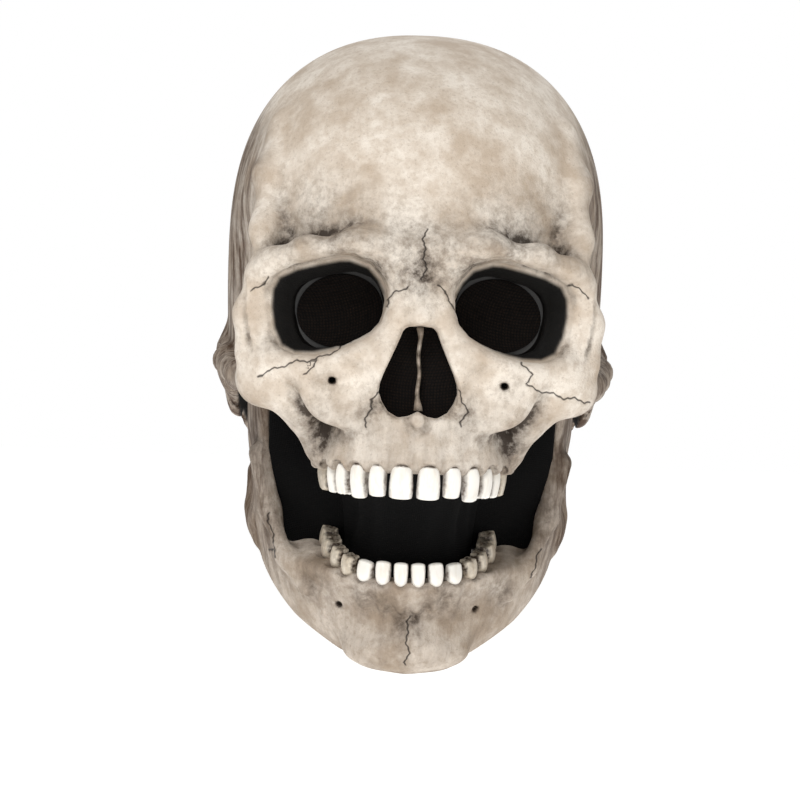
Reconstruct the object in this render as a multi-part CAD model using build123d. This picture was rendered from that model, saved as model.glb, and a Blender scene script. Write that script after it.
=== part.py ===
from build123d import *
import os
from bisect import bisect_left
from math import atan2, cos, degrees, exp, hypot, pi, radians, sin

# Over-the-head skull mask in moulded latex, with a lower jaw that follows the wearer's own jaw.
#
# Millimetres. +Z is up, the face looks along -Y and +X is the mask's own left side.
# The origin lies midway between the two jaw pivots, inside the wearer's head.
# The jaw is drawn shut, and everything on it is then turned open about the pivots by rest_opening.

# ---- driving dimensions ------------------------------------------------------------------

latex_wall = 3.5            # thickness of the cast skin
bond_gap = 0.1              # glue line round a tooth or a pressed-in fastener
cranium_half_width = 90.0   # at the temples
cranium_front = 109.0       # pivots to the brow
cranium_back = 122.0        # pivots to the back of the head
cranium_top = 158.0         # pivots to the crown
widest_y = 20.0             # the skull is widest here, behind the pivots
widest_z = 50.0             # and at this height
nape_z = -42.0              # lower rim at the back of the neck
seam_y = 14.0               # the front and rear castings meet here, behind the ears
upper_jaw_top = -5.0        # the upper jaw's casting ends here

rest_opening = 19.6         # degrees that the jaw hangs open
jaw_wall = 4.5
jaw_side_gap = 11.5         # the jaw stands this far inside the skull's outside at the pivots
jaw_half_width = cranium_half_width - jaw_side_gap
jaw_taper = 8.0             # and how much narrower its wall stands at the chin
jaw_outer_face = jaw_half_width + 0.4       # flat faces round the pivot holes
jaw_inner_face = jaw_half_width - jaw_wall
jaw_front = cranium_front - 3.5             # pivots to the chin, jaw shut
jaw_bottom = -114.5         # underside of the chin, jaw shut

bite_z = -61.5              # cutting edge of the upper middle teeth
upper_gum_z = -48.5
lower_gum_z = -69.5
soft_gap = 0.4              # between soft pieces and what they lie against
turn_gap = 0.05             # radial clearance of the pivots in their eyelets

socket_x, socket_z = 42.0, 23.5       # middle of an eye socket's mouth
socket_half = (26.0, 20.5)            # half width and half height of the mouth
socket_mouth_y = 11.0 - cranium_front
socket_floor_x, socket_floor_z = 36.0, 22.5
socket_floor_half = (17.0, 14.0)
socket_depth = 22.0
socket_floor_y = socket_mouth_y + socket_depth
socket_tilt = 13.0                    # the outer end hangs lower
nose_floor_y = 13.0 - cranium_front
nose_top, nose_bottom = 16.0, -25.0
nose_half_width = 17.0

pivot_radius = 2.5
pivot_head_radius = 6.0
washer_thickness = 1.0
boss_face = jaw_outer_face + washer_thickness + bond_gap    # x of the boss inside the skull
boss_radius = 9.0
boss_thickness = 6.5
pivot_head_seat = boss_face + boss_thickness    # x of the face that the pivot's head seats on
eyelet_radius = 4.0
eyelet_flange = (6.0, 0.6)  # radius and thickness
pivot_cap = (6.0, 2.6)      # radius and thickness
cap_end = jaw_inner_face - eyelet_flange[1] - pivot_cap[1]  # x of the pivot's inner end

pad_thickness = 11.0
screen_thickness = 0.8
screen_margin = 3.0
ring_thickness = 1.6
mouth_cloth = 1.0

strap_width = 25.0          # hook-and-loop strap across the nape slit
strap_thickness = 1.5
patch_thickness = 0.6
strap_z = -20.0             # middle height of the strap
strap_hinge_x = -14.0
strap_reach = 36.0
slit_width = 1.5
slit_top = 24.0

elastic_width = 14.0
elastic_thickness = 1.4
snap_radius = 5.0
snap_thickness = 1.8

snap_shank = 1.6
snap_depth = 4.0
post_radius = 6.0
post_face = jaw_half_width - 14.0   # x of the posts' faces that the elastic lies on
post_y, post_z = -35.0, 35.0        # post in the skull
anchor_y, anchor_z = -30.0, -38.0   # post on the jaw, jaw shut

chin_strap_width = 20.0
chin_strap_thickness = 1.6
chin_pad_thickness = 8.0
stud_y, stud_z = -40.0, -93.0       # studs of the chin strap, jaw shut
stud_shank = 1.5

muzzle_half_width = 44.0    # upper jaw at the gums
muzzle_front = -cranium_front
jaw_seat = muzzle_half_width + 10.0     # half width of the notch that the upper jaw sits in
tooth_ridge = 10.0          # thickness of the rims that hold the teeth
arch_middle_y = -54.0       # the tooth arches run forward from here
arch_power = 2.3            # and are this superellipse
upper_arch = (muzzle_half_width - 6.0, muzzle_front + 3.8)  # half width and front of the line
lower_arch = (muzzle_half_width - 8.0, 4.5 - jaw_front)     # through the tooth middles
gum_band_height = 8.5       # upright part of the rims, where the roots sit
tooth_spacing = 0.9
root_length = 7.0
rim_overlap = 0.15          # how far the lower tooth rim runs into the jaw's wall
root_share = 0.2            # root radius over crown width
bite_overlap = 0.9          # how far the lower edges come up behind the upper ones

# name: width, depth at the neck, depth at the cutting edge, edge below the bite (above it for the lower row)
UPPER_TEETH = (
    ("upper_central_incisors", 11.0, 7.6, 2.4, 0.0),
    ("upper_lateral_incisors", 8.6, 7.0, 2.2, -0.8),
    ("upper_canines", 9.0, 8.2, 3.0, 0.5),
    ("upper_first_premolars", 8.4, 8.6, 6.0, -0.7),
    ("upper_second_premolars", 8.2, 8.6, 6.2, -1.1),
    ("upper_first_molars", 12.2, 9.4, 7.6, -1.5),
    ("upper_second_molars", 11.0, 9.2, 7.2, -2.2),
)
LOWER_TEETH = (
    ("lower_central_incisors", 6.8, 6.4, 2.2, 0.0),
    ("lower_lateral_incisors", 7.4, 6.6, 2.2, 0.1),
    ("lower_canines", 8.4, 7.6, 2.8, 1.6),
    ("lower_first_premolars", 8.6, 8.2, 5.6, 1.6),
    ("lower_second_premolars", 8.8, 8.4, 6.2, 1.6),
    ("lower_first_molars", 13.2, 9.4, 7.6, 1.0),
    ("lower_second_molars", 12.4, 9.2, 7.2, 0.8),
)

TO_OPEN = Rotation(rest_opening, 0, 0)
SIDES = (("right", -1), ("left", 1))


def save(name, shape):
    """Writes one node, as one compound of its separate solids."""
    solids = shape if isinstance(shape, list) else shape.solids()
    export_step(Compound(children=list(solids)), f"parts/{name}.step")


def both_sides(solid):
    """The solid and its mirror image across the middle plane."""
    return [solid, mirror(solid, about=Plane.YZ)]


def profile_x(points, reach=160.0):
    """A closed outline in the YZ plane, given as (y, z), drawn out to both sides."""
    face = make_face(Polyline(*[(0, y, z) for y, z in points], close=True))
    return extrude(face, amount=reach, dir=(1, 0, 0), both=True)


def block(x0, x1, y0, y1, z0, z1):
    return Pos((x0 + x1) / 2, (y0 + y1) / 2, (z0 + z1) / 2) * Box(x1 - x0, y1 - y0, z1 - z0)


def rod_x(radius, x0, x1, y=0.0, z=0.0):
    """A round rod along X."""
    return Pos((x0 + x1) / 2, y, z) * Rotation(0, 90, 0) * Cylinder(radius, abs(x1 - x0))


# ---- the skull's outer form --------------------------------------------------------------

# Swellings of the form: (turn from the front in degrees, its spread, height, its spread, how proud).
SWELLINGS = (
    (18, 16, 46, 9, 5.0),     # brow ridges
    (56, 13, 26, 30, -8.0),   # hollow of the temples
    (36, 11, -8, 13, 5.0),    # cheekbones
    (92, 16, 2, 22, 4.0),     # over the ears
)
NOSE_BRIDGE = (6, 18, 13, 6.0)   # turn spread, height, its spread, how proud


def swell(turn, z):
    """How far the form stands proud at a turn from the front, the same on both sides."""
    t = degrees(turn)
    spread, at, tall, proud = NOSE_BRIDGE
    total = proud * exp(-((t / spread) ** 2) - ((z - at) / tall) ** 2)
    for t0, spread, at, tall, proud in SWELLINGS:
        around = exp(-(((t - t0) / spread) ** 2)) + exp(-(((t + t0) / spread) ** 2))
        total += proud * around * exp(-(((z - at) / tall) ** 2))
    return total


def skull_radius(turn, z, inset):
    """Distance from the skull's upright axis to its skin: a superellipse in plan, drawn in
    towards the crown by another and towards the neck by a square law."""
    rise = max(0.0, (z - widest_z) / (cranium_top - inset - widest_z))
    crown = (1 - rise ** 2.6) ** (1 / 2.2)
    drop = max(0.0, (widest_z - z) / 100)
    half_width = (cranium_half_width - inset) * (1 - 0.10 * drop ** 2) * crown
    if cos(turn) > 0:
        power = 2.6
        depth = (cranium_front + widest_y - inset) * crown
    else:
        power = 2.1
        depth = (cranium_back - widest_y - inset) * (1 - 0.30 * drop ** 2) * crown
    plain = ((abs(sin(turn)) / half_width) ** power + (abs(cos(turn)) / depth) ** power) ** (-1 / power)
    return plain + swell(turn, z) * crown


def skull_point(turn, z, inset):
    r = skull_radius(turn, z, inset)
    return (r * sin(turn), widest_y - r * cos(turn), z)


def skull_form(inset, bottom=-55.0, around=28):
    """The solid inside the skin at that inset, lofted through level rings."""
    top = cranium_top - inset
    share = (0.32, 0.54, 0.74, 0.88, 0.96, 0.99)
    heights = [bottom, -32, -12, 6, 22, 37, widest_z, 66] + [widest_z + s * (top - widest_z) for s in share]
    rings = []
    for z in heights:
        turns = [pi + 2 * pi * i / around for i in range(around)]
        rings.append(Wire([Edge.make_spline([skull_point(t, z, inset) for t in turns], periodic=True)]))
    return Solid.make_loft(rings)


# ---- plan curves of the face -------------------------------------------------------------

def plan_ring(half_width, front, back, middle_y, z, power, back_power=2.2, around=28):
    """Closed level curve: a superellipse forward of middle_y and another behind it."""
    points = []
    for i in range(around):
        t = pi + 2 * pi * i / around
        p = power if cos(t) > 0 else back_power
        depth = middle_y - front if cos(t) > 0 else back - middle_y
        r = ((abs(sin(t)) / half_width) ** p + (abs(cos(t)) / depth) ** p) ** (-1 / p)
        points.append((r * sin(t), middle_y - r * cos(t), z))
    return Wire([Edge.make_spline(points, periodic=True)])


def gum_band(outer_ring, inner_ring, height, holes):
    """Upright band between two plan curves, drilled for the tooth roots; height may be negative."""
    band = extrude(make_face(outer_ring) - make_face(inner_ring), amount=height, dir=(0, 0, 1))
    for hole in holes:
        band = band - hole
    return band


def muzzle():
    """The upper jaw below the nose, open behind, with a thick rim for the teeth."""
    wide, front = muzzle_half_width, muzzle_front
    top_of_band = upper_gum_z + gum_band_height
    outer = Solid.make_loft([
        plan_ring(wide + 11, front + 3, -44, arch_middle_y, -3, 2.5),
        plan_ring(wide + 3, front + 2, -44, arch_middle_y, -18, arch_power),
        plan_ring(wide - 1, front + 1, -44, arch_middle_y, -31, arch_power),
        plan_ring(wide, front, -44, arch_middle_y, top_of_band, arch_power),
    ])
    skin = latex_wall + 1
    inner = Solid.make_loft([
        plan_ring(wide + 12 - skin, front + 3 + skin, 30, arch_middle_y, 0, 2.5),
        plan_ring(wide + 2 - skin, front + 2 + skin, 30, arch_middle_y, -18, arch_power),
        plan_ring(wide - tooth_ridge, front + tooth_ridge, 30, arch_middle_y, top_of_band + 3, arch_power),
        plan_ring(wide - tooth_ridge, front + tooth_ridge, 30, arch_middle_y, top_of_band - 4, arch_power),
    ])
    left = [hole for _, _, hole in upper_tooth_row()]
    holes = left + [mirror(hole, about=Plane.YZ) for hole in left]
    band = gum_band(
        plan_ring(wide, front, -44, arch_middle_y, upper_gum_z, arch_power),
        plan_ring(wide - tooth_ridge, front + tooth_ridge, 30, arch_middle_y, upper_gum_z, arch_power),
        gum_band_height, holes)
    return (outer - inner) + (band - block(-90, 90, arch_middle_y + 8, 60, -90, 0))


# ---- sockets and nose --------------------------------------------------------------------

def socket_ring(half, x, y, z, grow=0.0, around=24):
    """Rounded four-sided outline of an eye socket in a plane across Y, leaning down outwards."""
    wide, tall = half[0] + grow, half[1] + grow
    tilt = radians(-socket_tilt)
    points = []
    for i in range(around):
        t = 2 * pi * i / around
        r = ((abs(cos(t)) / wide) ** 2.7 + (abs(sin(t)) / tall) ** 2.7) ** (-1 / 2.7)
        points.append((x + r * cos(t + tilt), y, z + r * sin(t + tilt)))
    return Wire([Edge.make_spline(points, periodic=True)])


def socket_cone(grow, floor_y):
    """The left eye socket as a solid cone from in front of the face back to floor_y."""
    ahead = 30.0
    flare = (socket_half[0] + 0.25 * ahead, socket_half[1] + 0.25 * ahead)
    return Solid.make_loft([
        socket_ring(flare, socket_x + 2, socket_mouth_y - ahead, socket_z, grow),
        socket_ring(socket_half, socket_x, socket_mouth_y, socket_z, grow),
        socket_ring(socket_floor_half, socket_floor_x, floor_y, socket_floor_z, grow),
    ], ruled=True)


def socket_plate(grow, y0, y1):
    """A flat plate of the socket floor's outline, for the left eye."""
    face = make_face(socket_ring(socket_floor_half, socket_floor_x, y0, socket_floor_z, grow))
    return extrude(face, amount=y1 - y0, dir=(0, 1, 0))


def nose_prism(grow, y0, y1):
    """Pear-shaped outline of the nose opening, notched below, drawn out along Y."""
    half, top, bottom = nose_half_width + grow, nose_top + grow, nose_bottom - grow
    right = [
        (0.24 * half, top), (0.52 * half, top - 10), (0.90 * half, bottom + 16), (0.94 * half, bottom + 6),
        (0.55 * half, bottom),
    ]
    outline = [*right, (0, bottom + 3), *[(-x, z) for x, z in reversed(right)]]
    face = make_face(Polyline(*[(x, y0, z) for x, z in outline], close=True))
    return extrude(face, amount=y1 - y0, dir=(0, 1, 0))


# ---- teeth -------------------------------------------------------------------------------

def arch_stations(half_width, front, widths):
    """Middle point and heading of each left tooth, spaced along the arch by width."""
    line = []
    for i in range(601):
        t = pi / 2 * i / 600
        r = (sin(t) / half_width) ** arch_power + (cos(t) / (arch_middle_y - front)) ** arch_power
        r = r ** (-1 / arch_power)
        line.append((r * sin(t), arch_middle_y - r * cos(t)))
    run = [0.0]
    for a, b in zip(line, line[1:]):
        run.append(run[-1] + hypot(b[0] - a[0], b[1] - a[1]))
    stations, at = [], tooth_spacing / 2
    for width in widths:
        k = min(bisect_left(run, at + width / 2), len(line) - 2)
        (x0, y0), (x1, y1) = line[k], line[k + 1]
        stations.append((x0, y0, degrees(atan2(y1 - y0, x1 - x0))))
        at += width + tooth_spacing
    return stations


def tooth_ring(wide, deep, z, power):
    """Level ring of a tooth: X along the arch, -Y outwards."""
    points = []
    for i in range(16):
        t = 2 * pi * i / 16
        r = ((abs(cos(t)) / (wide / 2)) ** power + (abs(sin(t)) / (deep / 2)) ** power) ** (-1 / power)
        points.append((r * cos(t), r * sin(t) - 0.05 * deep, z))
    return Wire([Edge.make_spline(points, periodic=True)])


def tooth(width, neck, height, edge):
    """A crown whose neck is at z = 0 and cutting edge at -height, with a round root above."""
    crown = Solid.make_loft([
        tooth_ring(0.80 * width, edge, -height, 2.8),
        tooth_ring(0.96 * width, 0.55 * edge + 0.45 * neck, -0.75 * height, 2.6),
        tooth_ring(0.92 * width, 0.98 * neck, -0.35 * height, 2.3),
        tooth_ring(0.70 * width, 0.86 * neck, 0, 2.0),
    ])
    return crown + Pos(0, 0, root_length / 2 - 0.5) * Cylinder(root_share * width, root_length + 1)


def upper_tooth_row():
    """(name, solid, root hole) of the left tooth of each upper pair."""
    row = []
    for spec, at in zip(UPPER_TEETH, arch_stations(*upper_arch, [s[1] for s in UPPER_TEETH])):
        name, width, neck, edge, drop = spec
        place = Pos(at[0], at[1], upper_gum_z - bond_gap) * Rotation(0, 0, at[2])
        height = upper_gum_z - bond_gap - bite_z + drop
        hole = Pos(0, 0, root_length / 2 - 1) * Cylinder(root_share * width + bond_gap, root_length + 2.4)
        row.append((name, place * tooth(width, neck, height, edge), place * hole))
    return row


def lower_tooth_row():
    """(name, solid, root hole) of the left tooth of each lower pair, jaw shut."""
    row = []
    for spec, at in zip(LOWER_TEETH, arch_stations(*lower_arch, [s[1] for s in LOWER_TEETH])):
        name, width, neck, edge, drop = spec
        place = Pos(at[0], at[1], lower_gum_z + bond_gap) * Rotation(0, 0, at[2])
        height = bite_z + bite_overlap - drop - lower_gum_z - bond_gap
        hole = Pos(0, 0, 1 - root_length / 2) * Cylinder(root_share * width + bond_gap, root_length + 2.4)
        solid = mirror(tooth(width, neck, height, edge), about=Plane.XY)
        row.append((name, place * solid, place * hole))
    return row


# ---- skull shell -------------------------------------------------------------------------

def cheek_bar(side):
    """The bar of bone from the cheek back to the ear."""
    wide = cranium_half_width
    points = ((wide - 24, -77, -10), (wide - 12, -56, -8), (wide - 7, -32, -4), (wide - 2, -6, 1))
    path = Spline(*[(side * x, y, z) for x, y, z in points])
    start = Plane(origin=path @ 0, z_dir=path % 0)
    return sweep(start * Ellipse(5.5, 7.5), path=path)


def nose_tube():
    """The wall that stands back round the nose opening."""
    return nose_prism(latex_wall, muzzle_front + 4, nose_floor_y) - nose_prism(0, -140, nose_floor_y + 2)


def rim_cut():
    """Everything below the skull's lower edge, which rises over the jaw and drops to the nape."""
    return profile_x([
        (-140, -20), (-66, -20), (-50, -11), (-14, -13), (12, -16), (24, -25), (36, -25), (56, nape_z),
        (150, nape_z), (150, -90), (-140, -90),
    ])


def face_casting():
    """Front casting: forehead, sockets, nose bridge, cheekbones, cheek bars and ear bosses."""
    skin = skull_form(0)
    hollow = skull_form(latex_wall)
    front = block(-120, 120, -140, seam_y - bond_gap / 2, -80, 170)
    shell = (skin & front) - hollow - rim_cut()
    shell = shell - block(-jaw_seat, jaw_seat, -140, -60, -30, upper_jaw_top)
    for _, side in SIDES:
        shell = shell + (cheek_bar(side) - hollow)
    left_cup = skin & socket_cone(latex_wall, socket_floor_y)
    left_eye = socket_cone(0, socket_floor_y + 1)
    for cup, eye in zip(both_sides(left_cup), both_sides(left_eye)):
        shell = shell + cup
        shell = shell - eye
    above_jaw = block(-60, 60, -140, -60, upper_jaw_top, 60)
    inside, outside = post_face - 4, cranium_half_width + 20
    shell = shell - nose_prism(0, -140, nose_floor_y + 2)
    shell = shell + (nose_tube() & above_jaw)
    for _, side in SIDES:
        shell = shell + rod_x(boss_radius, side * boss_face, side * (pivot_head_seat - 1.5))
        post = rod_x(post_radius, side * post_face, side * cranium_half_width, post_y, post_z)
        shell = shell + (post & skin)
        shell = shell - rod_x(pivot_head_radius + soft_gap, side * pivot_head_seat, side * outside)
        shell = shell - rod_x(pivot_radius + bond_gap, side * inside, side * outside)
        shell = shell - rod_x(snap_shank + bond_gap, side * inside, side * (post_face + snap_depth),
                              post_y, post_z)
    return shell


def back_casting():
    """Rear casting, cemented to the front one over the crown, with the slit at the nape."""
    rear = block(-120, 120, seam_y + bond_gap / 2, 150, -80, 170)
    shell = (skull_form(0) & rear) - skull_form(latex_wall) - rim_cut()
    return shell - block(-slit_width / 2, slit_width / 2, 60, 150, -90, slit_top)


def upper_jaw_casting():
    """Casting of the upper jaw, cemented under the face, with the lower part of the nose."""
    wide = jaw_seat - bond_gap
    below_face = block(-wide, wide, -140, -40, -60, upper_jaw_top - bond_gap)
    shell = muzzle() & below_face
    shell = shell - nose_prism(0, -140, nose_floor_y + 2)
    return shell + (nose_tube() & below_face)


def nasal_septum():
    """Thin upright plate down the middle of the nose opening."""
    return block(-1.1, 1.1, muzzle_front + 7, nose_floor_y, nose_bottom + 3 + bond_gap, nose_top - bond_gap)


# ---- lower jaw ---------------------------------------------------------------------------

def jaw_form(inset, top=30.0, levels=13):
    """The solid inside the jaw's U-shaped wall at that inset, jaw shut: narrower towards the chin,
    drawn in under the lip and rounded off below."""
    rings = []
    for i in range(levels):
        z = jaw_bottom - 4 + (top - jaw_bottom + 4) * i / (levels - 1)
        half_width = jaw_half_width - jaw_taper * (z / jaw_bottom) ** 2 - inset
        under_lip = 4.0 * exp(-(((z - jaw_bottom - 30) / 11) ** 2))
        under_chin = 5.0 * exp(-(((z - jaw_bottom) / 7) ** 2))
        front = -jaw_front + under_lip + under_chin + inset
        rings.append(plan_ring(half_width, front, 44 - inset, 0, z, 1.8, 3, 32))
    return Solid.make_loft(rings)


def jaw_slab(inset, thickness, region):
    """A slab along the inside of the jaw, kept inside a region."""
    return (region & jaw_form(inset)) - jaw_form(inset + thickness)


def ramus_outline():
    """Side view of the jaw, shut: chin, angle, the upright branch with its two horns, tooth line."""
    return profile_x([
        (-jaw_front - 10, jaw_bottom), (-80, jaw_bottom), (-56, jaw_bottom + 6), (-30, jaw_bottom + 21),
        (-12, -79), (0, -66), (6, -30), (10, 0), (6, 8), (-5, 9), (-12, 4), (-18, -6), (-27, -3), (-34, 5),
        (-40, -2), (-41, -40), (-47, -62), (-54, lower_gum_z), (-jaw_front - 10, lower_gum_z),
    ])


def jaw_shell():
    """The cast lower jaw, shut, with its thick tooth rim and a flat face at each pivot."""
    wall = (jaw_form(0) - jaw_form(jaw_wall)) & ramus_outline()
    arch_wide, arch_front = lower_arch
    half_width = jaw_half_width - jaw_taper * (lower_gum_z / jaw_bottom) ** 2 - jaw_wall / 2
    left = [hole for _, _, hole in lower_tooth_row()]
    holes = left + [mirror(hole, about=Plane.YZ) for hole in left]
    front = -jaw_front + jaw_wall / 2
    tooth_rim = gum_band(
        plan_ring(half_width, front, 40, 0, lower_gum_z, 1.8, 3, 32),
        plan_ring(arch_wide - 5.5, arch_front + 6.5, 30, arch_middle_y, lower_gum_z, arch_power),
        -gum_band_height - 4, holes)
    seat = make_face(plan_ring(half_width - rim_overlap, front + rim_overlap, 40, 0, lower_gum_z, 1.8, 3, 32))
    wall = wall - (extrude(seat, amount=-root_length - 1, dir=(0, 0, 1)) & block(-90, 90, -150, -50, -120, 0))
    shell = wall + (tooth_rim & block(-90, 90, -150, -50, -120, 0))
    inside, outside = post_face - 4, jaw_half_width + 20
    for _, side in SIDES:
        shell = shell + rod_x(boss_radius, side * (jaw_inner_face + 0.01), side * jaw_outer_face)
        post_end = jaw_side_x(anchor_y, anchor_z, jaw_wall) + 1
        shell = shell + rod_x(post_radius, side * post_face, side * post_end, anchor_y, anchor_z)
        shell = shell - rod_x(eyelet_radius + bond_gap, side * inside, side * outside)
        shell = shell - rod_x(boss_radius + 1, side * inside, side * jaw_inner_face)
        shell = shell - rod_x(snap_shank + bond_gap, side * inside, side * (post_face + snap_depth),
                              anchor_y, anchor_z)
        shell = shell - at_stud(side, rod_x(stud_shank + bond_gap, -20, 2.6))
    return shell


# ---- pivots ------------------------------------------------------------------------------

def pivot_rivet(side):
    head = rod_x(pivot_head_radius, side * (pivot_head_seat + bond_gap), side * (pivot_head_seat + 2.3))
    shank = rod_x(pivot_radius, side * cap_end, side * (pivot_head_seat + 1))
    return head + shank


def ring_x(inner, outer, x0, x1):
    return rod_x(outer, x0, x1) - rod_x(inner, x0 - 1 if x0 < x1 else x0 + 1, x1 + 1 if x0 < x1 else x1 - 1)


def spacer_washer(side):
    face = side * (boss_face - 0.05)
    return ring_x(pivot_radius + turn_gap, boss_radius - 1, face, side * (jaw_outer_face + 0.05))


def pivot_cap_disc(side):
    radius, thickness = pivot_cap
    face = jaw_inner_face - eyelet_flange[1] - 0.1
    return ring_x(pivot_radius + bond_gap, radius, side * (face - thickness), side * face)


def jaw_eyelet(side):
    """Brass eyelet through the jaw, flanged on the inside only."""
    bore = pivot_radius + turn_gap
    tube = ring_x(bore, eyelet_radius, side * jaw_inner_face, side * (jaw_outer_face - 0.05))
    radius, thickness = eyelet_flange
    flange_end = jaw_inner_face - 0.02
    flange = ring_x(bore, radius, side * (flange_end - thickness), side * flange_end)
    joint = ring_x(bore, eyelet_radius, side * (flange_end - 0.1), side * (jaw_inner_face + 0.1))
    return tube + joint + flange


# ---- pads, straps, screens ---------------------------------------------------------------

def skull_pads():
    """Foam pads glued round the inside of the skull, each following its skin."""
    near = skull_form(latex_wall + soft_gap)
    far = skull_form(latex_wall + soft_gap + pad_thickness)
    regions = {
        "forehead_pad": block(-36, 36, -140, -60, 62, 92),
        "crown_pad": block(-30, 30, -18, 48, cranium_top - 48, cranium_top + 12),
        "rear_pad": block(-34, 34, cranium_back - 42, cranium_back + 18, 44, 76),
        "side_pad_right": block(-cranium_half_width - 20, -50, -12, 34, 34, 62),
        "side_pad_left": block(50, cranium_half_width + 20, -12, 34, 34, 62),
    }
    return {name: (region & near) - far for name, region in regions.items()}


def nape_strap_parts():
    """Strap that closes the slit: a sewn tab, the free end, and its hook and loop patches."""
    z0, z1 = strap_z - strap_width / 2, strap_z + strap_width / 2
    top = 2 * patch_thickness + 3 * bond_gap
    skin = skull_form(-bond_gap)
    strap_under = skull_form(-top)
    strap_skin = skull_form(-top - strap_thickness)
    tab = (block(strap_hinge_x - 22, strap_hinge_x - 0.4, 60, 150, z0, z1) & strap_skin) - skin
    free = (block(strap_hinge_x + 0.4, strap_reach, 60, 150, z0, z1) & strap_skin) - strap_under
    patch = block(strap_reach - 22, strap_reach - 2, 60, 150, z0 + 2, z1 - 2)
    loops = (patch & skull_form(-bond_gap - patch_thickness)) - skin
    hooks = patch & skull_form(-2 * bond_gap - 2 * patch_thickness)
    hooks = hooks - skull_form(-2 * bond_gap - patch_thickness)
    return {"strap_tab": tab, "nape_strap": free, "loop_patch": loops, "hook_patch": hooks}


def elastic_band(side):
    """Flat elastic from the post in the skull down to the post on the jaw, at the rest pose."""
    lower = TO_OPEN * Location((side * 50, anchor_y, anchor_z))
    y1, z1 = lower.position.Y, lower.position.Z
    length = hypot(y1 - post_y, z1 - post_z)
    lean = degrees(atan2(post_y - y1, post_z - z1))
    x = side * (post_face - bond_gap - elastic_thickness / 2)
    strip = Box(elastic_thickness, elastic_width, length + elastic_width)
    strip = Pos(x, (post_y + y1) / 2, (post_z + z1) / 2) * Rotation(-lean, 0, 0) * strip
    for y, z in ((post_y, post_z), (y1, z1)):
        strip = strip - rod_x(snap_shank + bond_gap, side * (post_face - 10), side * (post_face + 10), y, z)
    return strip


def press_snap(side, y, z):
    """Press stud that pins the elastic to its post."""
    face = post_face - elastic_thickness - 2 * bond_gap
    disc = rod_x(snap_radius, side * (face - snap_thickness), side * face, y, z)
    return disc + rod_x(snap_shank, side * (face - 1), side * (post_face + snap_depth - 0.2), y, z)


def jaw_side_x(y, z, inset):
    """x of the jaw's side at that inset, from the same curve as jaw_form."""
    half_width = jaw_half_width - jaw_taper * (z / jaw_bottom) ** 2 - inset
    depth = jaw_front - 4.0 * exp(-(((z - jaw_bottom - 30) / 11) ** 2)) - inset
    return half_width * (1 - (abs(y) / depth) ** 1.8) ** (1 / 1.8)


def at_stud(side, solid):
    """Puts a solid drawn along +X, wall face at x = 0, square to the jaw's side at a stud."""
    x = jaw_side_x(stud_y, stud_z, jaw_wall)
    turn = degrees(atan2(jaw_side_x(stud_y + 1, stud_z, jaw_wall) - x, 1))
    placed = Pos(x, stud_y, stud_z) * Rotation(0, 0, -turn) * solid
    return placed if side > 0 else mirror(placed, about=Plane.YZ)


def chin_strap():
    """Webbing band round the inside of the jaw, drilled for its studs."""
    region = block(-90, 90, -130, stud_y + 8, stud_z - chin_strap_width / 2, stud_z + chin_strap_width / 2)
    band = jaw_slab(jaw_wall + soft_gap, chin_strap_thickness, region & ramus_outline())
    for _, side in SIDES:
        band = band - at_stud(side, rod_x(stud_shank + bond_gap, -20, 10))
    return band


def chin_cup():
    """Foam cup for the wearer's chin, glued inside the strap."""
    region = block(-40, 40, -130, -62, jaw_bottom + 3, stud_z + 9)
    return jaw_slab(jaw_wall + 2 * soft_gap + chin_strap_thickness, chin_pad_thickness, region)


def chin_stud(side):
    """Press stud through the strap into the jaw."""
    face = -soft_gap - chin_strap_thickness - 0.5
    return at_stud(side, rod_x(4.5, face - 1.6, face) + rod_x(stud_shank, face - 1, 2.4))


def mouth_screen():
    """Black stretch cloth from inside the upper tooth rim to inside the lower one, jaw open."""
    upper_wide = muzzle_half_width - tooth_ridge - soft_gap
    upper_front = muzzle_front + tooth_ridge + soft_gap
    lower_wide, lower_front = lower_arch[0] - 5.5 - 2 * soft_gap, lower_arch[1] + 6.5 + 2 * soft_gap
    high, low = upper_gum_z + gum_band_height - 1, lower_gum_z - 1.5
    skins = []
    for shrink in (0, mouth_cloth):
        upper = plan_ring(upper_wide - shrink, upper_front + shrink, 30, arch_middle_y, high, arch_power)
        lower = plan_ring(lower_wide - shrink, lower_front + shrink, 30, arch_middle_y, low, arch_power)
        skins.append(Solid.make_loft([upper, TO_OPEN * lower], ruled=True))
    cut = profile_x([(-150, 20), (-150, -160), (-20, -160), (-46, upper_gum_z + 20)], 60)
    return (skins[0] - skins[1]) & cut


def cheek_screen(side):
    """Black cloth behind the gap under the cheekbone, jaw open."""
    inner, under_bar, low = muzzle_half_width + 3, cranium_half_width - 14, jaw_half_width - 16
    corners = [(side * inner, -44, -12), (side * under_bar, -48, -9), (side * low, -47, -38)]
    front = make_face(Polyline(*corners, close=True))
    return extrude(front, amount=mouth_cloth, dir=(0, 1, 0))


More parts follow.
